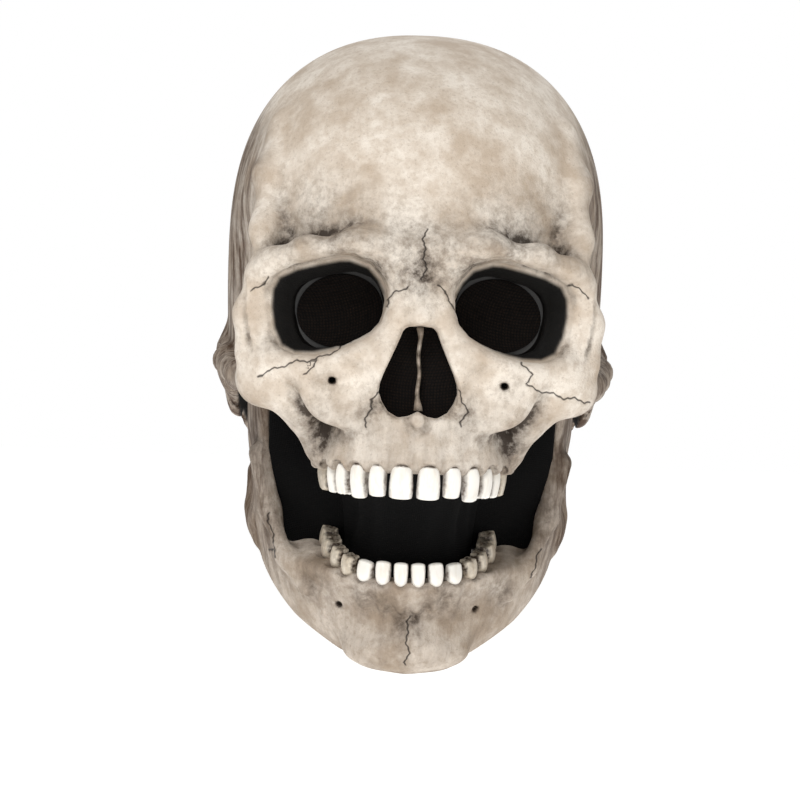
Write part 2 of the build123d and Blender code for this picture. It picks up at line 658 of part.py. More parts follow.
if __name__ == "__main__":
    os.makedirs("parts", exist_ok=True)
    save("cranium_face", face_casting())
    save("cranium_back", back_casting())
    save("upper_jaw", upper_jaw_casting())
    save("nasal_septum", nasal_septum())
    for tooth_name, solid, _ in upper_tooth_row():
        save(tooth_name, both_sides(solid))
    save("mandible_shell", TO_OPEN * jaw_shell())
    for tooth_name, solid, _ in lower_tooth_row():
        save(tooth_name, [TO_OPEN * s for s in both_sides(solid)])
    for pad_name, pad in skull_pads().items():
        save(pad_name, pad)
    for strap_name, strap in nape_strap_parts().items():
        save(strap_name, strap)
    screen_back = socket_floor_y + bond_gap + screen_thickness
    screen = socket_plate(screen_margin, socket_floor_y + bond_gap, screen_back)
    ring = socket_plate(screen_margin, screen_back + bond_gap, screen_back + bond_gap + ring_thickness)
    ring = ring - socket_plate(0, screen_back - 1, screen_back + 5)
    for kind, left_part in (("eye_screen", screen), ("eye_screen_ring", ring)):
        for (side_name, _), part in zip(SIDES, reversed(both_sides(left_part))):
            save(f"{kind}_{side_name}", part)
    save("nose_screen", nose_prism(3, nose_floor_y + bond_gap, nose_floor_y + bond_gap + screen_thickness))
    save("pivot_rivets", [pivot_rivet(side) for _, side in SIDES])
    save("spacer_washers", [spacer_washer(side) for _, side in SIDES])
    save("pivot_caps", [pivot_cap_disc(side) for _, side in SIDES])
    save("jaw_eyelets", [TO_OPEN * jaw_eyelet(side) for _, side in SIDES])
    save("upper_snaps", [press_snap(side, post_y, post_z) for _, side in SIDES])
    save("lower_snaps", [TO_OPEN * press_snap(side, anchor_y, anchor_z) for _, side in SIDES])
    for side_name, side in SIDES:
        save(f"jaw_elastic_{side_name}", elastic_band(side))
    save("chin_strap", TO_OPEN * chin_strap())
    save("chin_cup", TO_OPEN * chin_cup())
    save("chin_strap_studs", [TO_OPEN * chin_stud(side) for _, side in SIDES])
    save("mouth_screen", mouth_screen())
    save("cheek_screens", [cheek_screen(side) for _, side in SIDES])
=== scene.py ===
import math
import bpy
import numpy as np
import openvdb
from mathutils import Matrix, Vector


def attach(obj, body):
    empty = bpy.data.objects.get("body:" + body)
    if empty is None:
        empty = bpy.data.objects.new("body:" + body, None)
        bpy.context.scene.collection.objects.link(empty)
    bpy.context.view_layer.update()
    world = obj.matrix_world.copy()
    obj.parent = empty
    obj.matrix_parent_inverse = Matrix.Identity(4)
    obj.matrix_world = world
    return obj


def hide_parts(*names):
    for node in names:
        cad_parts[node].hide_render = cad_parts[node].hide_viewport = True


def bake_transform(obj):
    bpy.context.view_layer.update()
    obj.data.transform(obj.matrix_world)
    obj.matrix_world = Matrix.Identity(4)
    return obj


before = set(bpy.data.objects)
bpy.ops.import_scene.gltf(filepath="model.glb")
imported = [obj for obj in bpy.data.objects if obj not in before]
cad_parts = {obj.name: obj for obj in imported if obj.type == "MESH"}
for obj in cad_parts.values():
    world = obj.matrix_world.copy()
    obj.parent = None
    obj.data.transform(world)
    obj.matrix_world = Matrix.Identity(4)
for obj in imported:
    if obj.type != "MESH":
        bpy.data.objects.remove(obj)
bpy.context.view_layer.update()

# Lengths in the sections below are millimetres, in the row frame: +Z up, the face looks along -Y,
# the origin midway between the jaw pivots. Each mesh is turned into metres as it is made.


# ======== skull ===========================================================================
# The cast latex skull: vault, brows, sockets, nose, cheek bars and upper jaw in one skin about
# 3.5 mm thick, with a second casting cemented on behind. It is hollow, has holes, undercuts and
# free bars, which no grid of two parameters gives, so it is a distance field cut to a mesh.

def mesh_object(name, points, faces, smooth=True):
    """A mesh from points in millimetres and an array of faces, or a list of such arrays."""
    mesh = bpy.data.meshes.new(name)
    groups = [g for g in (faces if isinstance(faces, list) else [faces]) if len(g)]
    corners = np.concatenate([g.ravel() for g in groups]).astype(np.int32)
    sizes = np.concatenate([np.full(len(g), g.shape[1]) for g in groups])
    mesh.vertices.add(len(points))
    mesh.vertices.foreach_set("co", (np.asarray(points) / 1000).ravel().astype(np.float32))
    mesh.loops.add(len(corners))
    mesh.loops.foreach_set("vertex_index", corners)
    mesh.polygons.add(len(sizes))
    starts = np.concatenate([[0], np.cumsum(sizes)[:-1]])
    mesh.polygons.foreach_set("loop_start", starts.astype(np.int32))
    mesh.polygons.foreach_set("use_smooth", np.full(len(sizes), smooth))
    mesh.update(calc_edges=True)
    obj = bpy.data.objects.new(name, mesh)
    bpy.context.scene.collection.objects.link(obj)
    return obj


def soft_min(a, b, k):
    """The smaller of two fields, with a fillet about k wide where they meet."""
    w = np.maximum(k - np.abs(a - b), 0) / k
    return np.minimum(a, b) - w * w * k / 4


def soft_max(a, b, k):
    """The larger of two fields, with the same fillet."""
    return -soft_min(-a, -b, k)


def step_up(value, low, high):
    """0 below low, 1 above high, and a smooth S between them."""
    t = np.clip((value - low) / (high - low), 0, 1)
    return t * t * (3 - 2 * t)


def ellipsoid(x, y, z, centre, radii):
    """Nearly the distance to an ellipsoid: its scaled radius times how far the scaled point is out."""
    px, py, pz = x - centre[0], y - centre[1], z - centre[2]
    rx, ry, rz = radii
    k0 = np.sqrt((px / rx) ** 2 + (py / ry) ** 2 + (pz / rz) ** 2)
    k1 = np.sqrt((px / rx ** 2) ** 2 + (py / ry ** 2) ** 2 + (pz / rz ** 2) ** 2)
    return k0 * (k0 - 1) / np.maximum(k1, 1e-6)


def bar(x, y, z, a, b, ra, rb):
    """Distance to a round bar from a to b, its radius going from ra to rb."""
    d = [b[i] - a[i] for i in range(3)]
    t = ((x - a[0]) * d[0] + (y - a[1]) * d[1] + (z - a[2]) * d[2]) / sum(v * v for v in d)
    t = np.clip(t, 0, 1)
    gap = (x - a[0] - t * d[0]) ** 2 + (y - a[1] - t * d[1]) ** 2 + (z - a[2] - t * d[2]) ** 2
    return np.sqrt(gap) - (ra + (rb - ra) * t)


def outline_distance(u, v, points):
    """Signed distance to a closed polygon in a plane, negative inside, for all u and v."""
    best = np.full(np.broadcast(u, v).shape, 1e9)
    inside = np.zeros(best.shape, bool)
    for (u0, v0), (u1, v1) in zip(points, points[1:] + points[:1]):
        du, dv = u1 - u0, v1 - v0
        t = np.clip(((u - u0) * du + (v - v0) * dv) / (du * du + dv * dv), 0, 1)
        best = np.minimum(best, (u - u0 - t * du) ** 2 + (v - v0 - t * dv) ** 2)
        inside ^= ((v0 > v) != (v1 > v)) & (u < u0 + (v - v0) * du / (dv if dv else 1e-9))
    return np.where(inside, -1, 1) * np.sqrt(best)


def graded(start, end, fine_from, fine_to, fine, coarse):
    """Grid lines from start to end, fine apart between two places and spreading to coarse beyond."""
    up, down = [fine_from], [fine_from]
    while up[-1] < end:
        up.append(up[-1] + min(coarse, fine + 0.03 * max(0, up[-1] - fine_to)))
    while down[-1] > start:
        down.append(down[-1] - min(coarse, fine + 0.03 * (fine_from - down[-1])))
    return np.array(down[:0:-1] + up)


class Clay:
    """A distance field over the half x >= 0, worked a small box at a time and cut to a mesh."""

    def __init__(self, xs, ys, zs):
        self.axes = [axis.astype(np.float32) for axis in (xs, ys, zs)]
        self.x, self.y, self.z = xs[:, None, None], ys[None, :, None], zs[None, None, :]
        self.f = np.full((len(xs), len(ys), len(zs)), 50, np.float32)

    def part(self, low, high):
        """The box's slices of the grid and its coordinates."""
        found = []
        for axis, a, b in zip(self.axes, low, high):
            i, j = np.searchsorted(axis, [a, b])
            found.append(slice(max(0, i - 1), min(len(axis), j + 1)))
        i, j, k = found
        return (i, j, k), self.x[i], self.y[:, j], self.z[:, :, k]

    def even_out(self, field):
        """The field divided by its own slope, so that near the surface it reads as distance."""
        gx, gy, gz = np.gradient(field, *self.axes)
        return (field / np.maximum(np.sqrt(gx * gx + gy * gy + gz * gz), 1e-3)).astype(np.float32)

    def add(self, shape, k, low, high):
        """Joins shape(x, y, z) on with a fillet k wide, inside the box from low to high."""
        where, x, y, z = self.part(low, high)
        self.f[where] = soft_min(self.f[where], shape(x, y, z), k)

    def cut(self, shape, k, low, high):
        """Takes shape(x, y, z) away, with its edge rounded k wide."""
        where, x, y, z = self.part(low, high)
        self.f[where] = soft_max(self.f[where], -shape(x, y, z), k)

    def lump(self, centre, radii, k, away=False):
        """An ellipsoid put on, or taken away."""
        pad = [r + k + 3 for r in radii]
        low, high = [c - p for c, p in zip(centre, pad)], [c + p for c, p in zip(centre, pad)]
        work = self.cut if away else self.add
        work(lambda x, y, z: ellipsoid(x, y, z, centre, radii), k, low, high)

    def rib(self, points, radii, k, away=False):
        """Round bars from point to point put on, or taken away as a groove."""
        work = self.cut if away else self.add
        for a, b, ra, rb in zip(points, points[1:], radii, radii[1:]):
            pad = max(ra, rb) + k + 3
            low = [min(u, v) - pad for u, v in zip(a, b)]
            high = [max(u, v) + pad for u, v in zip(a, b)]
            work(lambda x, y, z: bar(x, y, z, a, b, ra, rb), k, low, high)

    def surface(self, keep=None):
        """Points and faces where the field is zero, inside keep, which is another field."""
        field = self.f if keep is None else np.maximum(self.f, keep)
        both = np.concatenate([field[:0:-1], field])
        grid = openvdb.FloatGrid(10.0)
        grid.copyFromArray(np.ascontiguousarray(both, np.float32))
        points, triangles, quads = grid.convertToPolygons(0.0, 0.0)
        lines = [np.concatenate([-self.axes[0][:0:-1], self.axes[0]]), *self.axes[1:]]
        points = np.stack([np.interp(points[:, a], np.arange(len(line)), line)
                           for a, line in enumerate(lines)], axis=1)
        return points, [triangles, quads]

    def sampled(self, field, points):
        """The field's value at each point of either half, straight-line interpolated."""
        total, places = np.zeros(len(points)), []
        for a, line in enumerate(self.axes):
            p = np.abs(points[:, 0]) if a == 0 else points[:, a]
            places.append(np.clip(np.interp(p, line, np.arange(len(line))), 0, len(line) - 1.001))
        at = np.stack(places, axis=1)
        i = at.astype(int)
        t = at - i
        for corner in np.ndindex(2, 2, 2):
            weight = np.prod([t[:, a] if corner[a] else 1 - t[:, a] for a in range(3)], axis=0)
            total += weight * field[i[:, 0] + corner[0], i[:, 1] + corner[1], i[:, 2] + corner[2]]
        return total


skull = Clay(np.arange(0, 99.5, 1.1), graded(-124, 128, -123, -74, 1.05, 2.4),
             graded(-62, 164, -61, 58, 1.05, 2.2))
x, y, z = skull.x, skull.y, skull.z
skin = 3.6
half_width, front, back, top = 90.0, 106.0, 122.0, 158.0
widest = (20.0, 50.0)        # y and z where the vault is widest


def vault_level(x, y, z, inset=0.0):
    """The vault: superellipses in plan, drawn in to the crown by another; 1 on the skin."""
    rise = np.maximum(z - widest[1], 0) / (top - inset - widest[1])
    drop = np.maximum(widest[1] - z, 0) / 100
    wide = (half_width - inset) * (1 - 0.10 * drop ** 2)
    fore = np.maximum(widest[0] - y, 0) / (front + widest[0] - inset)
    aft = np.maximum(y - widest[0], 0) / ((back - widest[0] - inset) * (1 - 0.30 * drop ** 2))
    plan = ((np.abs(x) / wide) ** 2.3 + fore ** 2.3 + aft ** 2.1) ** (1 / 2.25)
    return (plan ** 2.2 + rise ** 2.6) ** (1 / 2.4)


skull.f = skull.even_out((vault_level(x, y, z) - 1).astype(np.float32))
skull.lump((99, -58, 28), (22, 32, 42), 20, away=True)        # hollow of the temple
hollow_vault = skull.f + skin
below_face = np.maximum(z + 12, y + 40)       # the vault's hollow stops above the upper jaw
hollow_vault = np.maximum(hollow_vault, -below_face)
rim = [(-160, -10), (-66, -10), (-50, -8), (-14, -13), (12, -16), (24, -25), (36, -25), (56, -42),
       (160, -42), (160, 240), (-160, 240)]
skull.f = soft_max(skull.f, outline_distance(skull.y[0], skull.z[0], rim)[None], 3).astype(np.float32)

# brows, forehead and the ridge that runs up the temple
skull.rib([(71, -88, 40), (72, -79, 58), (72, -66, 84), (65, -50, 108)], [4.6, 3.6, 3, 2.6], 12)
skull.rib([(15, -104, 42), (30, -107, 50), (52, -102, 48), (66, -94, 43), (72, -86, 37)],
          [5, 5.5, 5.2, 4.6, 4.6], 8)
skull.lump((19, -103, 52), (15, 8, 7), 8)
skull.lump((0, -103, 49), (13, 8, 8), 8)
skull.rib([(0, -112, 47), (0, -112, 40)], [2.2, 1.6], 3, away=True)
# outer edge of the socket, cheekbone, and the bar back to the ear
skull.rib([(73, -84, 36), (77, -79, 20), (76, -80, 2)], [5.5, 6, 7], 7)
skull.lump((63, -84, -8), (15, 11, 13), 8)
skull.lump((71, -78, -11), (10, 9, 11), 6)
skull.rib([(72, -78, -10), (80, -60, -8), (85, -38, -5), (88, -16, -1), (87, 0, 2)],
          [8, 6.6, 5.6, 5.8, 7], 5)
# lower edge of the socket, and the bones beside the nose
skull.rib([(66, -88, 0), (52, -95, -3), (38, -100, -1), (24, -102, 6), (18, -101, 18)],
          [6.5, 6, 5.5, 5, 4.5], 7)
skull.rib([(0, -100, 42), (0, -103, 34), (0, -109, 20)], [7, 5.5, 5.5], 7)
skull.rib([(8, -99, 40), (10, -102, 20), (17, -103, 0), (20, -104, -14)], [5, 5, 5, 5], 7)
skull.lump((34, -99, -14), (18, 8, 16), 9)


def jaw_plan(x, y, wide, front, power=2.3, middle=-54.0):
    """A superellipse in plan, forward of its middle, and a blunt one behind it; 1 on the line."""
    fore = np.maximum(middle - y, 0) / (middle - front)
    aft = np.maximum(y - middle, 0) / 12
    return ((np.abs(x) / wide) ** power + fore ** power + aft ** 2.2) ** (1 / power)


# upper jaw, round in plan like the tooth row, with a thick rim
muzzle_low, muzzle_high = -50.0, 4.0
where, bx, by, bz = skull.part((0, -124, -60), (66, -30, 12))
spread = 43.5 + 4 * np.exp(-((bz + 50) / 12) ** 2) + 13 * np.clip((bz + 26) / 30, 0, 1) ** 1.6
muzzle = (jaw_plan(bx, by, spread, -107.0 + 0 * bz) - 1) * 46
muzzle = soft_max(muzzle, muzzle_low - bz, 4)
muzzle = soft_max(muzzle, bz - muzzle_high, 8)
skull.f[where] = soft_min(skull.f[where], muzzle, 9)
skull.rib([(60, -84, -14), (52, -84, -24), (46, -76, -40)], [9, 6, 4], 9)
skull.lump((0, -109, -25), (3, 4, 4), 4)
skull.lump((34, -112, -15), (11, 8, 11), 9, away=True)         # hollow under the socket
skull.rib([(26, -112, -8), (24, -112, -34)], [2.4, 1.6], 5, away=True)
# ear and the bulge behind it
skull.lump((84, 8, 0), (10, 13, 17), 6)
skull.lump((80, 22, -12), (9, 12, 16), 7)

tooth_middle = -54.0
upper_row = (38.0, -105.2, (11.0, 8.6, 9.0, 8.4, 8.2, 12.2, 11.0))    # half width, front, crown widths
tooth_gap = 0.9


def arch_stations(wide, front, widths):
    """Where each left tooth stands: places along a superellipse, spaced by crown width."""
    t = np.linspace(0, math.pi / 2, 1201)
    r = ((np.sin(t) / wide) ** 2.3 + (np.cos(t) / (tooth_middle - front)) ** 2.3) ** (-1 / 2.3)
    px, py = r * np.sin(t), tooth_middle - r * np.cos(t)
    run = np.concatenate([[0], np.cumsum(np.hypot(np.diff(px), np.diff(py)))])
    ends = np.cumsum(np.array(widths) + tooth_gap) - tooth_gap / 2
    at = ends - np.array(widths) / 2
    sx, sy = np.interp(at, run, px), np.interp(at, run, py)
    dx = np.interp(at + 0.5, run, px) - np.interp(at - 0.5, run, px)
    dy = np.interp(at + 0.5, run, py) - np.interp(at - 0.5, run, py)
    return [(a, b, math.atan2(d, c)) for a, b, c, d in zip(sx, sy, dx, dy)]


upper_stations = arch_stations(*upper_row)
for n, ((sx, sy, turn), width) in enumerate(zip(upper_stations, upper_row[2])):
    out = np.array([math.sin(turn), -math.cos(turn)])
    root = np.array([sx, sy]) + out * 1.2
    top_of_root = -26 if n == 2 else -33
    skull.rib([(root[0], root[1], -46), (root[0] * 0.95, root[1] + 0.6, top_of_root)],
              [width * 0.30, width * 0.16], 4)
    lip = np.array([sx, sy]) + out * 5.2
    skull.lump((lip[0], lip[1], -49.5), (width * 0.46, width * 0.46, 4.2), 1.2, away=True)

# eye sockets and nose
socket_outline = [(32, 46), (23, 43), (18, 37.3), (15.2, 31.5), (15.8, 23.5), (17.6, 17.5), (22.5, 12),
                  (30, 7.6), (38, 4.2), (47, 2), (56, 1.8), (62.6, 5), (66.3, 13), (68, 23), (67.5, 31),
                  (64.5, 37), (56.5, 41), (46, 43.8), (37, 45.8)]
nose_outline = [(-1, 16), (5.5, 15.6), (7.5, 14), (9.5, 8.8), (12.5, 1.8), (15.6, -5.2), (17.3, -10),
                (17.6, -13.5), (16.2, -18), (13.3, -22.4), (8.7, -25), (4, -24.2), (0, -22), (-1, -22)]
socket_floor_y, nose_floor_y = -76.0, -96.0
flat_u, flat_v = np.meshgrid(np.arange(-30, 130, 0.8), np.arange(-40, 90, 0.8), indexing="ij")
socket_table = outline_distance(flat_u, flat_v, socket_outline)


def socket(x, y, z):
    """Cone behind the socket's outline, narrowing backwards about a line that runs inwards."""
    depth = np.clip((y + 88) / 12, 0, 1.1)
    shrink = 1 - 0.28 * depth + 0.12 * np.clip((-98 - y) / 22, 0, 1.2)
    u = (42 + (np.abs(x) - (42 - 6 * depth)) / shrink + 30) / 0.8
    v = (24 + (z - (24 - 1.5 * depth)) / shrink + 40) / 0.8
    i = np.clip(u.astype(int), 0, socket_table.shape[0] - 2)
    j = np.clip(v.astype(int), 0, socket_table.shape[1] - 2)
    s, t = np.clip(u - i, 0, 1), np.clip(v - j, 0, 1)
    value = socket_table[i, j] * (1 - s) * (1 - t) + socket_table[i + 1, j] * s * (1 - t)
    value = value + socket_table[i, j + 1] * (1 - s) * t + socket_table[i + 1, j + 1] * s * t
    return value * shrink


where, bx, by, bz = skull.part((0, -124, -24), (84, -66, 66))
socket_field = socket(bx + 0 * by, by + 0 * bx, bz).astype(np.float32)
# the socket's own wall, which closes it off from the temple
cup_wall = np.maximum(socket_field - 3.4 - 7 * step_up(bx, 58, 67), np.maximum(by + 70, -89 - by))
skull.f[where] = soft_min(skull.f[where], cup_wall, 3)
nose_field = outline_distance(skull.x[:, 0], skull.z[0], nose_outline)[:, None, :].astype(np.float32)
inside_wide = 39 + 4 * np.exp(-((z + 50) / 12) ** 2) + 27 * step_up(z, -24, -2)
face_hollow = skull.even_out(((jaw_plan(x, y, inside_wide, -97.5 + 0 * z, 2.3, -40.0) - 1) * 45
                              ).astype(np.float32))
face_hollow = soft_max(soft_max(face_hollow, z - 40, 6), y - 30, 4)
hollow = soft_min(hollow_vault, face_hollow, 4)
hollow[where] = np.maximum(hollow[where], -np.maximum(socket_field - 3.2, by - socket_floor_y))
hollow = np.maximum(hollow, -np.maximum(nose_field - 2.6, y - nose_floor_y))
skull.f = soft_max(skull.f, -hollow, 1.5).astype(np.float32)
skull.f[where] = soft_max(skull.f[where], -np.maximum(socket_field, by - 6 - socket_floor_y), 4.5)
skull.f = soft_max(skull.f, -np.maximum(nose_field, y + 90), 1.5).astype(np.float32)
foramen = [(38.5, -114, -11), (38.5, -92, -8)]
skull.rib(foramen, [1.7, 1.4], 1.5, away=True)


def round_bar_x(radius, low, high):
    """A round bar along X about the pivots' axis."""
    return lambda x, y, z: np.maximum(np.sqrt(y * y + z * z) - radius, np.maximum(low - x, x - high))


skull.add(round_bar_x(9, 80, 87), 1.0, (76, -14, -14), (94, 14, 14))       # boss for the pivot
skull.cut(round_bar_x(6.5, 86.6, 120), 0.8, (80, -12, -12), (99, 12, 12))   # room for its head
skull.cut(round_bar_x(2.7, 70, 120), 0.4, (68, -6, -6), (99, 6, 6))
skull.cut(lambda x, y, z: np.maximum(np.maximum(x - 0.75, 60 - y), z - 24), 0.5, (0, 58, -62), (4, 128, 28))

# Hairline cracks and sutures, as the painter scores them: side, then points across and up.
cracks = [
    (-1, [(31, 9), (38, 4), (45, 0), (52, -1), (60, -3), (70, -8)]),
    (-1, [(45, 0), (50, -6)]),
    (1, [(47, 1), (50, -4), (49, -9), (58, -12), (68, -14), (77, -15)]),
    (1, [(68, 37), (74, 33)]), (-1, [(69, 35), (75, 30)]),
    (1, [(0.5, 58), (0.0, 50), (1.2, 44), (0.3, 38)]),
    (1, [(8, 33), (13, 29), (15, 24)]), (-1, [(8, 33), (13, 30), (15, 25)]),
    (1, [(18, -14), (22, -20), (20, -27)]), (-1, [(17, -12), (21, -19), (23, -29)]),
]


def crack_distance(points, paths, reach_y):
    """Signed and plain distance in front view to the nearest of some broken lines, a little
    shaken so that no stretch is straight; points behind reach_y are far away."""
    u0 = points[:, 0] + 0.7 * np.sin(points[:, 2] * 0.7 + 1.0) + 0.3 * np.sin(points[:, 2] * 2.1)
    v0 = points[:, 2] + 0.7 * np.sin(points[:, 0] * 0.6) + 0.3 * np.sin(points[:, 0] * 1.9 + 2.0)
    signed, plain = np.full(len(points), 9.0), np.full(len(points), 9.0)
    for side, path in paths:
        for (a, b), (c, d) in zip(path, path[1:]):
            du, dv = side * c - side * a, d - b
            run = math.hypot(du, dv)
            t = np.clip(((u0 - side * a) * du + (v0 - b) * dv) / run ** 2, 0, 1)
            gap = np.hypot(u0 - side * a - t * du, v0 - b - t * dv)
            across = ((u0 - side * a) * dv - (v0 - b) * du) / run
            near = gap < plain
            signed, plain = np.where(near, across, signed), np.where(near, gap, plain)
    far = points[:, 1] > reach_y
    return np.where(far, 9.0, signed), np.where(far, 9.0, plain)


def put(mesh, name, *columns):
    """Stores one number, or three, for each vertex."""
    kind = "FLOAT" if len(columns) == 1 else "FLOAT_VECTOR"
    field = mesh.attributes.new(name, kind, "POINT")
    data = np.stack(columns, axis=1).ravel().astype(np.float32)
    field.data.foreach_set("value" if kind == "FLOAT" else "vector", data)


def vertex_normals(mesh):
    """The mesh's own normals, one row for each vertex."""
    out = np.zeros(len(mesh.vertices) * 3, np.float32)
    mesh.vertex_normals.foreach_get("vector", out)
    return out.reshape(-1, 3)


def hollowness(clay, points, normals, reach):
    """How shut in a point is: 0 where the air at reach is clear, 1 deep in a corner."""
    air = clay.sampled(clay.f, points + normals * reach)
    return np.clip(1 - air / reach, 0, 1)


def wash_and_shade_on(clay, points, normals, dabs):
    """Dark wash and painted shade at each point: what lies in corners 5 and 2 wide, and dabs of a centre
    on either side, a radius and a strength, which fade as a bell curve."""
    # corners darkened with painted shade, together with the dark wash that settles in them
    dirt_and_shade = 0.75 * np.clip((hollowness(clay, points, normals, 5) - 0.18) / 0.8, 0, 1)
    dirt_and_shade = dirt_and_shade + 0.5 * np.clip((hollowness(clay, points, normals, 2) - 0.18) / 0.8, 0, 1)
    for centre, radius, strength in dabs:
        away = (np.abs(points[:, 0]) - centre[0]) ** 2 + (points[:, 1] - centre[1]) ** 2
        away = away + (points[:, 2] - centre[2]) ** 2
        dirt_and_shade = dirt_and_shade + strength * np.exp(-away / radius ** 2)
    return dirt_and_shade


def linear(hex_colour):
    """A colour written as sRGB hex, as the linear RGBA that a shader socket takes."""
    values = [int(hex_colour[i:i + 2], 16) / 255 for i in (1, 3, 5)]
    return [v / 12.92 if v <= 0.04045 else ((v + 0.055) / 1.055) ** 2.4 for v in values] + [1.0]


def add(tree, kind, links=None, **settings):
    """Adds one node with its settings; links gives each input a value or another node's output."""
    node = tree.nodes.new("ShaderNode" + kind)
    for key, value in settings.items():
        setattr(node, key, value)
    for key, value in (links or {}).items():
        if isinstance(value, bpy.types.NodeSocket):
            tree.links.new(value, node.inputs[key])
        else:
            node.inputs[key].default_value = value
    return node


def mix(tree, share, first, second):
    """A node that mixes two colours: the first where share is 0, the second where it is 1."""
    return add(tree, "MixRGB", {"Fac": share, "Color1": first, "Color2": second})


def remap(tree, value, low, high, to_low=0.0, to_high=1.0):
    """A node that spreads a value between low and high over another range, and clamps it there."""
    return add(tree, "MapRange", {"Value": value, "From Min": low, "From Max": high, "To Min": to_low,
                                  "To Max": to_high})


def new_material(name, roughness, **fixed):
    """An empty material with its roughness and other fixed values on the shader's own sockets."""
    material = bpy.data.materials.new(name)
    material.use_nodes = True
    shader = material.node_tree.nodes["Principled BSDF"]
    shader.inputs["Roughness"].default_value = roughness
    for key, value in fixed.items():
        shader.inputs[key.replace("_", " ")].default_value = value
    return material, material.node_tree, shader


def painted_bone(name, light, middle, shade, streaks):
    """Cast latex painted as old bone: matt acrylic sponged on in cloudy coats, dark wash and painted shade
    in the hollows, fine open pores, and vertical runs of stain on the sides."""
    material, tree, shader = new_material(name, 0.72)
    shader.inputs["Specular IOR Level"].default_value = 0.3
    place = add(tree, "TexCoord").outputs["Object"]
    paint = add(tree, "Attribute", attribute_name="paint").outputs["Vector"]
    marks = add(tree, "Attribute", attribute_name="marks").outputs["Vector"]
    grime_and_shade, side, black = add(tree, "SeparateXYZ", {"Vector": paint}).outputs
    crack_side, crack_gap, inside = add(tree, "SeparateXYZ", {"Vector": marks}).outputs
    # cloudy coats about 22 mm across, sponge marks about 4 mm, pores about 1.3 mm
    cloud = add(tree, "TexNoise", {"Vector": place, "Scale": 1 / 0.022, "Detail": 7, "Roughness": 0.62})
    sponge = add(tree, "TexNoise", {"Vector": place, "Scale": 1 / 0.0042, "Detail": 5, "Roughness": 0.7})
    pores = add(tree, "TexNoise", {"Vector": place, "Scale": 1 / 0.0013, "Detail": 3, "Roughness": 0.75})
    tall = add(tree, "Mapping", {"Vector": place, "Scale": (1, 1, 0.16)}).outputs["Vector"]
    runs = add(tree, "TexNoise", {"Vector": tall, "Scale": 1 / 0.0050, "Detail": 5, "Roughness": 0.7})
    coat = remap(tree, cloud.outputs["Fac"], 0.40, 0.64)
    colour = mix(tree, coat.outputs[0], linear(light), linear(middle))
    dab = remap(tree, sponge.outputs["Fac"], 0.46, 0.70, 0, 0.6)
    colour = mix(tree, dab.outputs[0], colour.outputs[0], linear(middle))
    speck = remap(tree, pores.outputs["Fac"], 0.56, 0.76, 0, 0.42)
    colour = mix(tree, speck.outputs[0], colour.outputs[0], linear(shade))
    run = remap(tree, runs.outputs["Fac"], 0.40, 0.62)
    stain = add(tree, "Math", {0: run.outputs[0], 1: 0.55}, operation="MULTIPLY")
    stain = add(tree, "Math", {0: stain.outputs[0], 1: 0.50}, operation="ADD")
    stain = add(tree, "Math", {0: stain.outputs[0], 1: side}, operation="MULTIPLY", use_clamp=True)
    colour = mix(tree, stain.outputs[0], colour.outputs[0], linear(streaks))
    # the dark wash and the painted shade lie thick in the hollows and break up at their edges
    patch = remap(tree, sponge.outputs["Fac"], 0.34, 0.64, 0.45, 1.55)
    wash_and_shade_mix = add(tree, "Math", {0: grime_and_shade, 1: patch.outputs[0]}, operation="MULTIPLY")
    wash_and_shade_mix = remap(tree, wash_and_shade_mix.outputs[0], 0.04, 0.95, 0, 0.92)
    colour = mix(tree, wash_and_shade_mix.outputs[0], colour.outputs[0], linear("#2c1f15"))
    # scored cracks 0.7 mm wide
    line = add(tree, "Math", {0: crack_side}, operation="ABSOLUTE")
    line = remap(tree, line.outputs[0], 0.12, 0.62, 0.9, 0)
    ends = remap(tree, crack_gap, 1.4, 2.2, 1, 0)
    scored = add(tree, "Math", {0: line.outputs[0], 1: ends.outputs[0]}, operation="MULTIPLY")
    colour = mix(tree, scored.outputs[0], colour.outputs[0], linear("#1d1611"))
    colour = mix(tree, black, colour.outputs[0], linear("#070605"))
    colour = mix(tree, inside, colour.outputs[0], linear("#1a1613"))
    tree.links.new(colour.outputs[0], shader.inputs["Base Color"])
    relief = add(tree, "Math", {0: sponge.outputs["Fac"], 1: pores.outputs["Fac"]}, operation="ADD")
    relief = add(tree, "Math", {0: relief.outputs[0], 1: scored.outputs[0]}, operation="SUBTRACT")
    bump = add(tree, "Bump", {"Height": relief.outputs[0], "Strength": 0.55, "Distance": 0.0007})
    tree.links.new(bump.outputs[0], shader.inputs["Normal"])
    return material


bone_paint = painted_bone("painted_bone_latex", "#e6dccf", "#bfae9b", "#7d6b59", "#4c3828")

# Dark patches, partly wash and partly painted shade, on the brows and forehead, beside the nose and under the
# cheekbones: centre, radius, strength.
wash_and_shade_dabs = [((0, -108, 36), 9, 0.5), ((22, -104, 40), 9, 0.6), ((20, -106, -20), 8, 0.35),
           ((0, -110, 50), 17, 0.36), ((30, -106, 62), 22, 0.20), ((58, -92, 66), 20, 0.24),
           ((56, -98, 52), 13, 0.26), ((76, -78, 44), 15, 0.28),
           ((44, -92, -26), 12, 0.45), ((74, -70, -20), 12, 0.6), ((40, -100, -9), 7, 0.3),
           ((64, -90, 6), 8, 0.3), ((36, -106, 52), 9, 0.35), ((46, -80, -40), 9, 0.4)]

